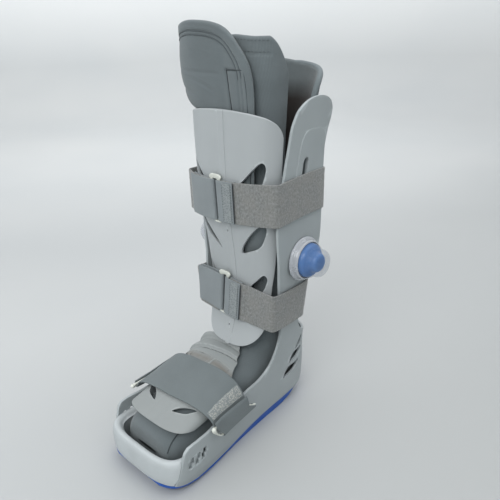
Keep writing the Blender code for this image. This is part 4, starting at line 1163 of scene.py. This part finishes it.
def slimmer(points, share):
    """Outline drawn in towards its own long axis."""
    n = len(points)
    cx, cz = sum(p[0] for p in points) / n, sum(p[1] for p in points) / n
    xx = sum((p[0] - cx) ** 2 for p in points)
    zz = sum((p[1] - cz) ** 2 for p in points)
    xz = sum((p[0] - cx) * (p[1] - cz) for p in points)
    a = 0.5 * math.atan2(2 * xz, xx - zz)
    c, s = math.cos(a), math.sin(a)
    out = []
    for x, z in points:
        along, across = (x - cx) * c + (z - cz) * s, (z - cz) * c - (x - cx) * s
        out.append((cx + along * c - across * share * s, cz + along * s + across * share * c))
    return out


def dressed_plate():
    def point(u, v, out):
        top, low = PLATE_TOP.at("z", abs(u)), PLATE_LOW.at("z", abs(u))
        return plate_point(u, low + (top - low) * v, PLATE_THICK / 2 - out)

    def relief(u, v):
        return RIDGE_RISE * clamp((RIDGE_HALF - abs(u - RIDGE_AT)) / 0.012)
    near = [RIDGE_AT + side * (RIDGE_HALF - d) for side in (-1, 1) for d in (-0.004, 0.0, 0.006, 0.012, 0.016)]
    us = sorted(edge_dense(-1, 1, 90, 0.035) + near)
    plate = pad("plate", point, us, edge_dense(0, 1, 110, 0.008), PLATE_THICK, [PLATE_MAT], relief=relief)
    for sign in (1, -1):
        for window in PLATE_WINDOWS:
            shape = [(sign * x, z) for x, z in slimmer(smooth_line(window, 7, closed=True), 1.0 if sign > 0 else 0.45)]
            cut(plate, prism(shape, "y", -80.0, 0.0, "window"))
    for x, z in ((-1.5, 232.2), (-3.4, 117.4)):
        ring = [(x + DOT_RADIUS * c, z + DOT_RADIUS * s) for c, s in circle(16)]
        cut(plate, prism(ring, "y", -60.0, -36.0, "dot"))
    return harden(plate, "front_plate", [PLATE_MAT], ["shin_plate"], 0.45, 44.0)


def step_up(value, edge, wide):
    t = clamp((value - edge) / wide)
    return t * t * (3 - 2 * t)


TOE_RIGHT = Table(("y", "u"), [(-170, 1.0), (-104, 1.0), (-92, 0.9), (-86, 0.68), (-80, 0.58), (-72, 0.52),
                               (-66, 0.5), (-61, 0.43), (-54, 0.40), (-50, 0.34), (-46, 0.31)])
STEP_RISE, STEP_GROOVE = 2.3, 1.2
TOE_LEFT = Table(("y", "u"), [(-170, 1.0), (-60, 1.0), (-46, 0.9)])
TOE_SHIFT = Table(("y", "x"), [(-170, 0.0), (-100, 0.0), (-80, -2.5), (-60, -5.0), (-46, -6.5)])


def dressed_toe_plate():
    def spot(u, share):
        front = -170.0 + 22.0 * abs(u) ** 3.0
        return front + (-46.0 - front) * share

    def point(u, share, out):
        y = spot(u, share)
        limit = TOE_RIGHT.at("u", y) if u > 0 else TOE_LEFT.at("u", y)
        x, y, z = toe_point(u * limit, y, out - TOE_THICK / 2)
        return (x + TOE_SHIFT.at("x", y), y, z)

    def relief(u, share):
        x, y, _ = point(u, share, 0.0)
        low, high = y + 64.5 - 0.13 * x, y + 50.5
        steps = STEP_RISE * (step_up(low, -0.8, 1.6) + step_up(high, -0.8, 1.6))
        steps -= STEP_GROOVE * (math.exp(-((low + 2.2) / 1.2) ** 2) + math.exp(-((high + 2.2) / 1.2) ** 2))
        steps -= 1.1 * (step_up(low, 2.5, 9.0) + step_up(high, 2.5, 9.0))
        dip = step_up(-y, 77.5, 2.4) * (1 - step_up(-y, 96.0, 8.0)) * step_up(abs(x - 3.0), 2.6, 1.6)
        dip *= 1 - step_up(abs(x), 27.0, 3.0)
        crease = 0.35 * math.exp(-((abs(x) - 7.0 - 0.06 * (y + 160)) / 1.2) ** 2) * step_up(-y, 100.0, 30.0)
        return steps - 3.0 * dip + crease - 1.2
    shares = sorted(edge_dense(0, 1, 110, 0.012) + spread(0.70, 0.99, 60))
    plate = pad("toe_work", point, edge_dense(-1, 1, 110, 0.025), shares, TOE_THICK, [TOE_MAT], relief=relief)
    for sign in (1, -1):
        for points in (smooth_line(TOE_LEAF, 7, closed=True), TOE_NOTCH):
            cut(plate, prism([(sign * x, y) for x, y in points], "z", 40.0, 120.0, "leaf"))
    return harden(plate, "toe_cover", [TOE_MAT], ["toe_plate"], 0.4, 44.0)


# Padded liner and its two flaps.
def liner_place(angle, v, out, wall=LINER_WALL):
    a = math.radians(angle)
    if v <= 1.0:
        row = v * SEAM_ROW
    else:
        row = leg_row(262.0 + (WRAP_TOP.at("top", angle) - 262.0) * (v - 1.0) + (v - 1.0) * 0.5)
    inset = wall / 2 - out
    _, _, front, back, _, wide = liner_section(row, 0.0)
    return liner_point(row, a, min(inset, 0.72 * min(front, back, wide)))


def groove(distance, depth, wide):
    return -depth * math.exp(-(distance / wide) ** 2)


def soft_waves(x, y, z, size, height):
    return height * noise.noise(Vector((x / size, y / size, z / size)))


TOE_SEAM = [(30.0, -146.0, 57.0), (31.5, -155.0, 54.0), (32.0, -163.0, 50.0), (31.5, -169.0, 44.0),
            (30.5, -172.0, 37.0)]
WINDOW_SEAMS = (24.0, 36.0, 48.0, -40.0)


def on_liner(target, out):
    """Point on the liner's outer face, nearest to a place near its toe."""
    aim = Vector(target)
    best = None
    for i in range(60):
        for angle in range(-180, 180, 2):
            p = Vector(liner_place(angle, i * 0.006, LINER_WALL / 2 + out))
            if best is None or (p - aim).length < best[0]:
                best = ((p - aim).length, p)
    return tuple(best[1])


def dressed_liner():
    angles = sorted(set([-180 + 3 * i for i in range(120)] + [-104, -103.2, -102.6, -102, 92, 92.6, 93.3, 94, 95, 96]))

    def relief(angle, v):
        x, y, z = liner_place(angle, v, 0.0)
        extra = soft_waves(x, y, z, 26.0, 0.5) + soft_waves(x, y, z + 90, 9.0, 0.22) - 0.35
        if v <= 1.0:
            return extra + groove((abs(angle) - 118.0) * 0.75, 0.8, 1.3)
        top = WRAP_TOP.at("top", angle)
        extra += groove(top - 8.5 - z, 0.9, 1.3)
        return extra + 0.35 if 0 < top - z < 8.0 else extra

    vs = spread(0.0, 0.999, 100) + spread(1.0, 1.96, 40) + [1.97, 1.98, 1.987, 1.993, 1.998, 2.0]
    boot = pad("liner", liner_place, angles, vs, LINER_WALL, [LINER_MAT, INSIDE_MAT], ["liner_boot"],
               closed=True, relief=relief, open_low=True, inner_mat=1)
    edge = [(x, y, z - 1.7) for x, y, z in (liner_place(a, 2.0, 0.0) for a in spread(97.0, 255.0, 90))]
    tube("liner_binding", edge, 3.1, BINDING_MAT, sides=14)
    seam = [on_liner(p, 0.35) for p in TOE_SEAM]
    tube("toe_seam", smooth_line(seam, 8), 0.6, SEAM_MAT)
    for number, angle in enumerate(WINDOW_SEAMS):
        line = [liner_point(leg_row(z), math.radians(angle), -0.45) for z in spread(158.0, 256.0, 24)]
        tube("leg_seam_" + str(number), line, 0.7, SEAM_MAT)
    return boot


def outline_distance(table, last_low):
    """Distance, in mm, from the upper and right edges of a flap, measured on the unrolled flap."""
    scale = 0.86
    keys = table.keys
    line = [(a * scale, table.at("top", a)) for a in spread(keys[0], keys[-1], 60)]
    line.append((keys[-1] * scale, last_low))

    def distance(angle, z):
        best = 1e9
        p = (angle * scale, z)
        for a, b in zip(line, line[1:]):
            dx, dz = b[0] - a[0], b[1] - a[1]
            t = clamp(((p[0] - a[0]) * dx + (p[1] - a[1]) * dz) / max(dx * dx + dz * dz, 1e-9))
            best = min(best, math.hypot(p[0] - a[0] - dx * t, p[1] - a[1] - dz * t))
        return best
    return distance


FLAP_THICK = 6.0
LEFT_INSET, LEFT_LOW = 1.0, 263.1
MID_INSET, MID_LOW = LINER_WALL + 2.4, 250.0
POCKET_LINES = [((9.7, 397.5), (12.0, 379.0), (15.5, 352.0), (20.0, 310.0), (23.0, 268.0)),
                ((32.0, 397.5), (34.4, 377.0), (35.6, 350.0), (37.0, 310.0), (38.0, 268.0))]


def left_flap_spot(angle, z, out):
    flare = LEFT_TOP.at("bulge", angle) * (1 - math.exp(-max(z - 356.5, 0.0) / 7.0))
    return liner_point(leg_row(z), math.radians(angle), LEFT_INSET + FLAP_THICK / 2 - flare - out)


def mid_flap_spot(angle, z, out):
    return liner_point(leg_row(z), math.radians(angle), MID_INSET + FLAP_THICK / 2 - out)


def flap_line(spot, points, out, steps=8):
    """Points of a line drawn on a flap, given as (angle, height)."""
    return [spot(a, z, out) for a, z in smooth_line(points, steps)]


def edge_line(spot, distance, table, inset, first, last, out, count=90):
    """Line on a flap at one distance from its upper edge."""
    line = []
    for angle in spread(first, last, count):
        z = table.at("top", angle)
        for _ in range(60):
            gap = inset - distance(angle, z)
            if gap < 0.05:
                break
            z -= max(gap * 0.5, 0.05)
        line.append(spot(angle, z, out))
    return line


def dressed_left_flap():
    distance = outline_distance(LEFT_TOP, 330.0)
    first, last = LEFT_TOP.keys[0], LEFT_TOP.keys[-1]

    def point(angle, v, out):
        return left_flap_spot(angle, between(LEFT_LOW, LEFT_TOP.at("top", angle), v), out)

    def relief(angle, v):
        z = between(LEFT_LOW, LEFT_TOP.at("top", angle), v)
        d = distance(angle, z)
        extra = groove(d - 9.6, 0.7, 0.9) + groove(d - 13.2, 0.7, 0.9)
        if d < 8.8:
            extra += 0.35
        x, y, _ = point(angle, v, 0.0)
        if d > 14:
            extra += 0.9 * min((d - 14) / 12, 1.0)
            extra += groove(z - 395.0 + 0.05 * (angle + 25), 1.0, 1.7) * math.exp(-((angle + 25) / 22) ** 4)
            extra += groove(z - 384.0 + 0.45 * (angle + 23), 0.9, 1.5) * math.exp(-((angle + 23) / 13) ** 4)
            extra += groove(z - 376.0 + 0.25 * (angle + 40), 0.7, 2.2) * math.exp(-((angle + 45) / 18) ** 4)
            if 7.0 < angle:
                extra += groove(z - 397.5, 1.1, 1.0)
            if z < 398.5:
                for line in POCKET_LINES:
                    high, low = next(((p, q) for p, q in zip(line, line[1:]) if z >= q[1]), line[-2:])
                    at = high[0] + (low[0] - high[0]) * (high[1] - z) / (high[1] - low[1])
                    extra += groove((angle - at) * 0.86, 1.3, 1.1)
        return extra + soft_waves(x, y, z, 17.0, 0.45)
    us = edge_dense(first, last, 130, 4.0)
    flap = pad("flap_left", point, us, edge_dense(0, 1, 120, 0.02), FLAP_THICK, [LINER_MAT, INSIDE_MAT],
               ["liner_flap_left"], relief=relief)
    out = FLAP_THICK / 2
    for number, inset in enumerate((9.6, 13.2)):
        line = edge_line(left_flap_spot, distance, LEFT_TOP, inset, -96.0, 29.0 - number * 4, out - 0.15)
        tube("flap_piping_" + str(number), line, 0.55, PIPING_MAT)
    for number, line in enumerate(POCKET_LINES):
        tube("pocket_seam_" + str(number), flap_line(left_flap_spot, line, out - 0.1), 0.6, SEAM_MAT)
    line = [left_flap_spot(a, 397.5, out + 0.1) for a in spread(9.0, 31.5, 16)]
    tube("pocket_top", line, 0.5, SEAM_MAT)
    return flap


MID_BAND = 15.5


def dressed_mid_flap():
    first, last = MID_TOP.keys[0], MID_TOP.keys[-1]

    def point(angle, v, out):
        return mid_flap_spot(angle, between(MID_LOW, MID_TOP.at("top", angle), v), out)

    def relief(angle, v):
        z = between(MID_LOW, MID_TOP.at("top", angle), v)
        d = MID_TOP.at("top", angle) - z
        x, y, _ = point(angle, v, 0.0)
        if angle > 60:
            return soft_waves(x, y, z + 40, 21.0, 0.4) + 0.3
        extra = groove(d - MID_BAND, 0.9, 1.0) + (0.1 if d < MID_BAND - 1 else 0.45)
        return extra + soft_waves(x, y, z + 40, 21.0, 0.4)
    flap = pad("flap_mid", point, edge_dense(first, last, 90, 4.0), edge_dense(0, 1, 100, 0.02), FLAP_THICK,
               [LINER_MAT, INSIDE_MAT], ["liner_flap_mid"], relief=relief)
    for number, inset in enumerate((4.0, MID_BAND - 1.6)):
        line = [mid_flap_spot(a, MID_TOP.at("top", a) - inset, FLAP_THICK / 2 + 0.25) for a in spread(-24.0, 59.0, 70)]
        stitches("mid_stitch_" + str(number), line, DARK_THREAD_MAT, 2.4, 1.5, 0.24)
    return flap


# Straps.
def upper_z(s):
    return 267.5 + 5.0 * math.exp(-((s - 130.0) / 60.0) ** 2)


def lower_z(s):
    return 151.5 - 6.0 * math.exp(-((s - 100.0) / 60.0) ** 2) + 5.0 * math.exp(-((s + 25.0) / 40.0) ** 2)


def dressed_strap(name, middle, direction, z_mid, half, tab_right, tab_left):
    round_ = Round(middle, STRAP_REACH, direction)
    start = BAR_SHIFT + BAR_RADIUS + 2.6
    stop = round_.length - start
    left = round_.length - tab_left
    flat_lift = BAND_CLEAR + FELT_THICK / 2

    def lift(s):
        near = max(1 - step_up(s, tab_right + 3.0, 6.0), step_up(s, left - 9.0, 6.0))
        return flat_lift + (BAR_LIFT - flat_lift) * near

    def felt_point(s, v, out):
        return round_.at(s, lift(s) + out, z_mid(s) + (2 * v - 1) * half)

    def felt_relief(s, v):
        coarse = 0.22 * noise.noise(Vector((s / 5.0, v * 9.0, 3.0)))
        return coarse + 0.12 * noise.noise(Vector((s / 1.7, v * 25.0, 1.0)))
    us = edge_dense(start, stop, 300, 1.0)
    felt_band = pad(name + "_felt", felt_point, us, edge_dense(0, 1, 22, 0.04), FELT_THICK - 0.2,
                    [FELT_MAT], [name], relief=felt_relief)
    for sign, reach, side in ((1, tab_right, ""), (-1, tab_left, "_left")):
        line = tab_line(sign, reach)
        last = len(line) - 1

        def tab_point(i, v, out, line=line, last=last):
            z = z_mid(line[int(i)][0]) + (2 * v - 1) * half
            a, b, c = (round_.at(*line[int(min(max(k, 0), last))], z) for k in (i - 1, i, i + 1))
            size = math.hypot(c[0] - a[0], c[1] - a[1])
            return (b[0] + (c[1] - a[1]) / size * out, b[1] - (c[0] - a[0]) / size * out, z)
        tab = pad(name + "_fold" + side, tab_point, [float(k) for k in range(last + 1)], edge_dense(0, 1, 14, 0.03),
                  TAB_THICK, [TAB_MAT], [name + "_tab" + side])
    face = BAR_LIFT + FOLD_RADIUS + TAB_THICK / 2 + 0.12
    z0 = z_mid(0.0)

    def hook_spot(s, v, out):
        return round_.at(s, face + 0.25 + out, z_mid(s) + (2 * v - 1) * (half - 1.2))
    low, high = 12.2, tab_right - 2.6
    hook = pad(name + "_hook", hook_spot, edge_dense(low, high, 10, 0.3), edge_dense(0, 1, 22, 0.01), 0.5,
               [HOOK_MAT])
    for number, s in enumerate((low - 0.9, high + 0.9)):
        column = [round_.at(s, face + 0.1, z_mid(s) + d) for d in spread(1.5 - half, half - 1.5, 14)]
        stitches(name + "_stitch_" + str(number), column, DARK_THREAD_MAT, 1.7, 1.2, 0.22)
    end = [round_.at(tab_right + 0.5, face - 0.5, z_mid(tab_right) + d) for d in spread(-half + 1, half - 1, 12)]
    tube(name + "_end", end, 0.6, SEAM_MAT)
    ring = "loop_" + name.split("_")[1]
    flat_loop(ring + "_frame", lambda u, v, lift: round_.at(u, BAR_LIFT + lift, z0 + v), half, ring)


def flat_loop(name, at, half, node):
    """Flat moulded frame that a strap's two tabs fold round: wide over the top, narrow below."""
    outer = (BAR_SHIFT + 1.5, half + 5.6, -half - 2.4, 3.4)
    inner = (BAR_SHIFT - 1.4, half + 0.7, -half - 0.5, 1.2)

    def corner_line(box):
        wide, high, low, radius = box
        out = []
        near, up, down = wide - radius, high - radius, low + radius
        corners = ((1, high, 0, (-near, high)), (-1, high, 90, (-wide, down)), (-1, low, 180, (near, low)),
                   (1, low, 270, (wide, up)))
        for cx, cz, turn, stop in corners:
            inward = -1 if cz == high else 1
            for k in range(9):
                a = math.radians(turn + 11.25 * k)
                out.append((cx * near + radius * math.cos(a), cz + inward * radius + radius * math.sin(a)))
            steps = 10 if turn in (90, 270) else 3
            start = out[-1]
            out += [(between(start[0], stop[0], t), between(start[1], stop[1], t))
                    for t in spread(0.0, 1.0, steps + 2)[1:-1]]
        return out
    made = bmesh.new()
    rings = []
    for (ou, ov), (iu, iv) in zip(corner_line(outer), corner_line(inner)):
        ring = []
        for c, s in circle(14):
            c, s = math.copysign(abs(c) ** 0.55, c), math.copysign(abs(s) ** 0.55, s)
            mu, mv = (ou + iu) / 2 + (ou - iu) / 2 * c, (ov + iv) / 2 + (ov - iv) / 2 * c
            mu *= 1 + 0.4 * step_up(mv, half + 0.7, 0.8)
            ring.append(at(mu, mv, 1.3 * s))
        rings.append(ring_of(made, ring))
    for a, b in zip(rings, rings[1:] + rings[:1]):
        bridge(made, a, b)
    return keep(made, name, [LOOP_MAT], [node], 50.0)


def dressed_foot_strap():
    vs = edge_dense(0, 1, 26, 0.02)
    lines = {v: foot_line(v) for v in vs}
    last = len(lines[vs[0]]) - 1

    def point(i, v, out):
        line = lines[v]
        i = int(i)
        along = line[min(i + 1, last)] - line[max(i - 1, 0)]
        across = Vector((-along.z, 0.0, along.x)).normalized()
        return tuple(line[i] + across * out)

    def relief(i, v):
        return 0.12 * noise.noise(Vector((i / 4.0, v * 10.0, 7.0)))
    strap = pad("foot_strap", point, [float(k) for k in range(last + 1)], vs, FOOT_LAYER, [FOOT_MAT],
                ["strap_foot"], relief=relief)
    length = sum((b - a).length for a, b in zip(lines[0], lines[0][1:]))

    def patch_spot(share, v, out):
        return foot_point(share, v, FOOT_LIFT + FOOT_LAYER / 2 + 0.15 + out)
    patch = pad("foot_patch", patch_spot, edge_dense(0.46, 0.625, 24, 0.004), edge_dense(0.04, 0.96, 30, 0.01), 0.7,
                [PATCH_MAT])
    for number, share in enumerate((0.475, 0.61)):
        column = [patch_spot(share, v, 0.45) for v in spread(0.07, 0.93, 20)]
        stitches("foot_stitch_" + str(number), column, THREAD_MAT, 1.8, 1.2, 0.27)
    for number, v in enumerate((0.07, 0.93)):
        row = [patch_spot(share, v, 0.45) for share in spread(0.475, 0.61, 12)]
        stitches("foot_stitch_row_" + str(number), row, THREAD_MAT, 1.8, 1.2, 0.27)
    for (sign, end, _, bar), side in zip(FOOT_ENDS, ("right", "left")):
        middle_lift = FOOT_LIFT + FOOT_FOLD
        front, rear = -RING_OVER, 0.97
        half_way = (end + bar) / 2
        path = [fold_frame(sign, end, v)[0] for v in (0.0, 1 / 3, 2 / 3, 1.0)]
        path += [Vector(foot_point(sign * share, v, middle_lift))
                 for share, v in ((end - 0.02, rear - 0.02), (half_way, rear), (bar + 0.02, rear - 0.02))]
        path += [Vector(foot_point(sign * bar, v, middle_lift)) for v in (1.0, 2 / 3, 1 / 3, 0.0)]
        path += [Vector(foot_point(sign * share, v, middle_lift))
                 for share, v in ((bar + 0.02, front + 0.02), (half_way, front), (end - 0.02, front + 0.02))]
        ring = smooth_line([tuple(p) for p in path], 5, closed=True)
        lead = min(p[1] for p in ring)

        def ring_radius(t, ring=ring, lead=lead):
            y = ring[min(int(round(t * (len(ring) - 1))), len(ring) - 1)][1]
            return RING_RADIUS + 1.3 * max(0.0, 1 - (y - lead) / 4.0)
        tube("foot_ring_" + side, ring, ring_radius, LOOP_MAT, closed=True, sides=12,
             replaced=["loop_foot_" + side])


# Pumps.
def lathe(profile, base_x, sign, name, mat, replaced):
    """Round piece about the pump's axis: a closed profile, or one that ends in a point."""
    made = bmesh.new()
    pointed = profile[-1][0] < 0.01
    rings = []
    for r, h in profile[:-1] if pointed else profile:
        rings.append(ring_of(made, [(sign * (base_x + h), PUMP_Y + r * c, PUMP_Z + r * s) for c, s in circle(56)]))
    tip = ring_of(made, [(sign * (base_x + profile[-1][1]), PUMP_Y, PUMP_Z)]) if pointed else None
    for a, b in zip(rings, rings[1:]):
        bridge(made, a, b)
    if pointed:
        for a, b in zip(rings[-1], rings[-1][1:] + rings[-1][:1]):
            made.faces.new((a, b, tip[0]))
        made.faces.new(rings[0])
    else:
        bridge(made, rings[-1], rings[0])
    return keep(made, name, [mat], replaced, 50.0)


COLLAR_LINE = [(24.5, 0.0), (24.8, 0.8), (24.7, 1.9), (24.0, 2.8), (23.0, 3.3), (22.6, 4.6), (22.2, 6.4), (21.6, 7.6),
               (20.9, 8.2), (20.3, 8.3), (20.1, 7.6), (20.1, 0.0)]
COVER_LINE = [(19.8, 0.0), (19.9, 7.5), (19.7, 10.0), (19.0, 12.2), (17.9, 13.9), (16.7, 15.0), (16.0, 16.0),
              (15.7, 17.6), (15.5, 20.4), (15.1, 23.0), (14.2, 25.2), (12.6, 26.6), (10.0, 27.3), (6.0, 27.6),
              (0.0, 27.7)]
CORE_LINE = [(19.0, 0.0), (19.0, 7.4), (18.7, 9.6), (18.0, 11.4), (16.8, 12.8), (15.0, 13.8), (12.4, 14.8),
             (11.2, 16.4), (10.8, 18.6), (10.2, 20.8), (9.0, 22.4), (6.4, 23.3), (3.0, 23.6), (0.0, 23.7)]


def dressed_pumps():
    base = 0.0
    for z in spread(PUMP_Z - 24.5, PUMP_Z + 24.5, 9):
        for x, y, _ in shell_loop(z, 0.0):
            if abs(y - PUMP_Y) < 26.0:
                base = max(base, x)
    base += GAP
    for sign, side in ((1, "right"), (-1, "left")):
        lathe(COLLAR_LINE, base, sign, "pump_collar_" + side, PUMP_CLEAR_MAT, ["pump_base_" + side])
        lathe(CORE_LINE, base, sign, "pump_core_" + side, PUMP_BLUE_MAT, ["pump_bulb_" + side])
        lathe(COVER_LINE, base, sign, "pump_cover_" + side, PUMP_COVER_MAT, [])


dressed_shell()
dressed_outsole()
dressed_bumper()
dressed_plate()
dressed_toe_plate()
dressed_liner()
dressed_left_flap()
dressed_mid_flap()
dressed_strap("strap_upper", 268.0, -9.0, upper_z, 22.5, 25.0, 42.0)
dressed_strap("strap_lower", 151.0, -16.0, lower_z, 22.0, 25.0, 42.0)
dressed_foot_strap()
dressed_pumps()


# Floor, light and camera.
def floor():
    """Round studio floor that curves up into a low wall, far outside every view's camera."""
    made = bmesh.new()
    line = [(0.02, 0.0), (0.4, 0.0), (0.9, 0.0), (1.5, 0.0), (2.2, 0.0)]
    line += [(2.2 + 1.6 * math.sin(math.pi * k / 24), 1.6 - 1.6 * math.cos(math.pi * k / 24)) for k in range(1, 13)]
    rings = []
    for radius, z in line + [(3.8, 2.4)]:
        rings.append([made.verts.new((radius * c, radius * s, z)) for c, s in circle(64)])
    made.faces.new(rings[0])
    for a, b in zip(rings, rings[1:]):
        bridge(made, a, b)
    for face in made.faces:
        face.smooth = True
    plane = mesh_object(made, "studio_floor")
    f = Finish("studio_floor", 0.7)
    cloudy = f.mix(f.cloud(1.5, 2.0, 0.0, 1.0), rgb(195, 197, 197), rgb(189, 192, 193))
    # Painted shade: the floor colour darkens towards +X, on the near right of the view.
    shaded = f.mix(f.span(f.axis("X"), -0.35, 0.45, 0.0, 1.0), cloudy, rgb(166, 169, 169))
    f.colour(f.mix(f.span(f.axis("Z"), 0.25, 0.9, 0.0, 1.0), shaded, rgb(244, 246, 246)))
    f.bump(f.noise(400.0, 2.0), 0.03, 0.0003)
    plane.data.materials.append(f.mat)


def area_light(name, spot, aim, size, power, colour):
    data = bpy.data.lights.new(name, "AREA")
    data.shape = "RECTANGLE"
    data.size, data.size_y = size
    data.energy = power
    data.color = colour
    lamp = bpy.data.objects.new(name, data)
    lamp.location = spot
    lamp.rotation_euler = (Vector(aim) - Vector(spot)).to_track_quat("-Z", "Y").to_euler()
    bpy.context.scene.collection.objects.link(lamp)


def light():
    world = bpy.data.worlds.new("studio")
    bpy.context.scene.world = world
    world.use_nodes = True
    back = world.node_tree.nodes["Background"]
    back.inputs["Color"].default_value = (0.78, 0.80, 0.82, 1.0)
    back.inputs["Strength"].default_value = 1.0
    area_light("key", (0.55, -1.4, 1.4), (0.0, 0.0, 0.2), (1.1, 1.1), 16.5, (1.0, 1.0, 0.99))
    area_light("fill", (-1.3, -0.9, 1.1), (0.0, 0.0, 0.2), (1.5, 1.2), 2.5, (0.96, 0.98, 1.0))
    area_light("top", (0.1, 0.5, 1.7), (0.0, 0.0, 0.1), (1.6, 1.6), 10.0, (1.0, 1.0, 1.0))
    area_light("wall", (-0.9, 0.7, 1.7), (-2.7, 2.1, 1.0), (1.2, 1.2), 26.0, (1.0, 1.0, 1.0))


CAMERA_SPOT = (0.401946, -0.433037, 0.435295)


def camera():
    """The photograph's viewing angle: 22 degrees down, from the toe's right side."""
    data = bpy.data.cameras.new("photo_view")
    data.sensor_width = 36.0
    data.lens = 39.85
    data.clip_start = 0.01
    cam = bpy.data.objects.new("photo_view", data)
    pitch, azimuth, roll = 0.38394775, 0.76008469, -0.03081779
    level = Vector((-math.sin(azimuth), math.cos(azimuth), 0.0))
    right = Vector((math.cos(azimuth), math.sin(azimuth), 0.0))
    ahead = level * math.cos(pitch) - Vector((0, 0, 1)) * math.sin(pitch)
    up = right.cross(ahead)
    side = right * math.cos(roll) + up * math.sin(roll)
    top = up * math.cos(roll) - right * math.sin(roll)
    x, y, z = CAMERA_SPOT
    cam.matrix_world = Matrix(((side.x, top.x, -ahead.x, x), (side.y, top.y, -ahead.y, y - ORIGIN_Y * MM),
                               (side.z, top.z, -ahead.z, z), (0, 0, 0, 1)))
    bpy.context.scene.collection.objects.link(cam)
    bpy.context.scene.camera = cam


floor()
light()
camera()
bpy.context.scene.view_settings.view_transform = "Standard"
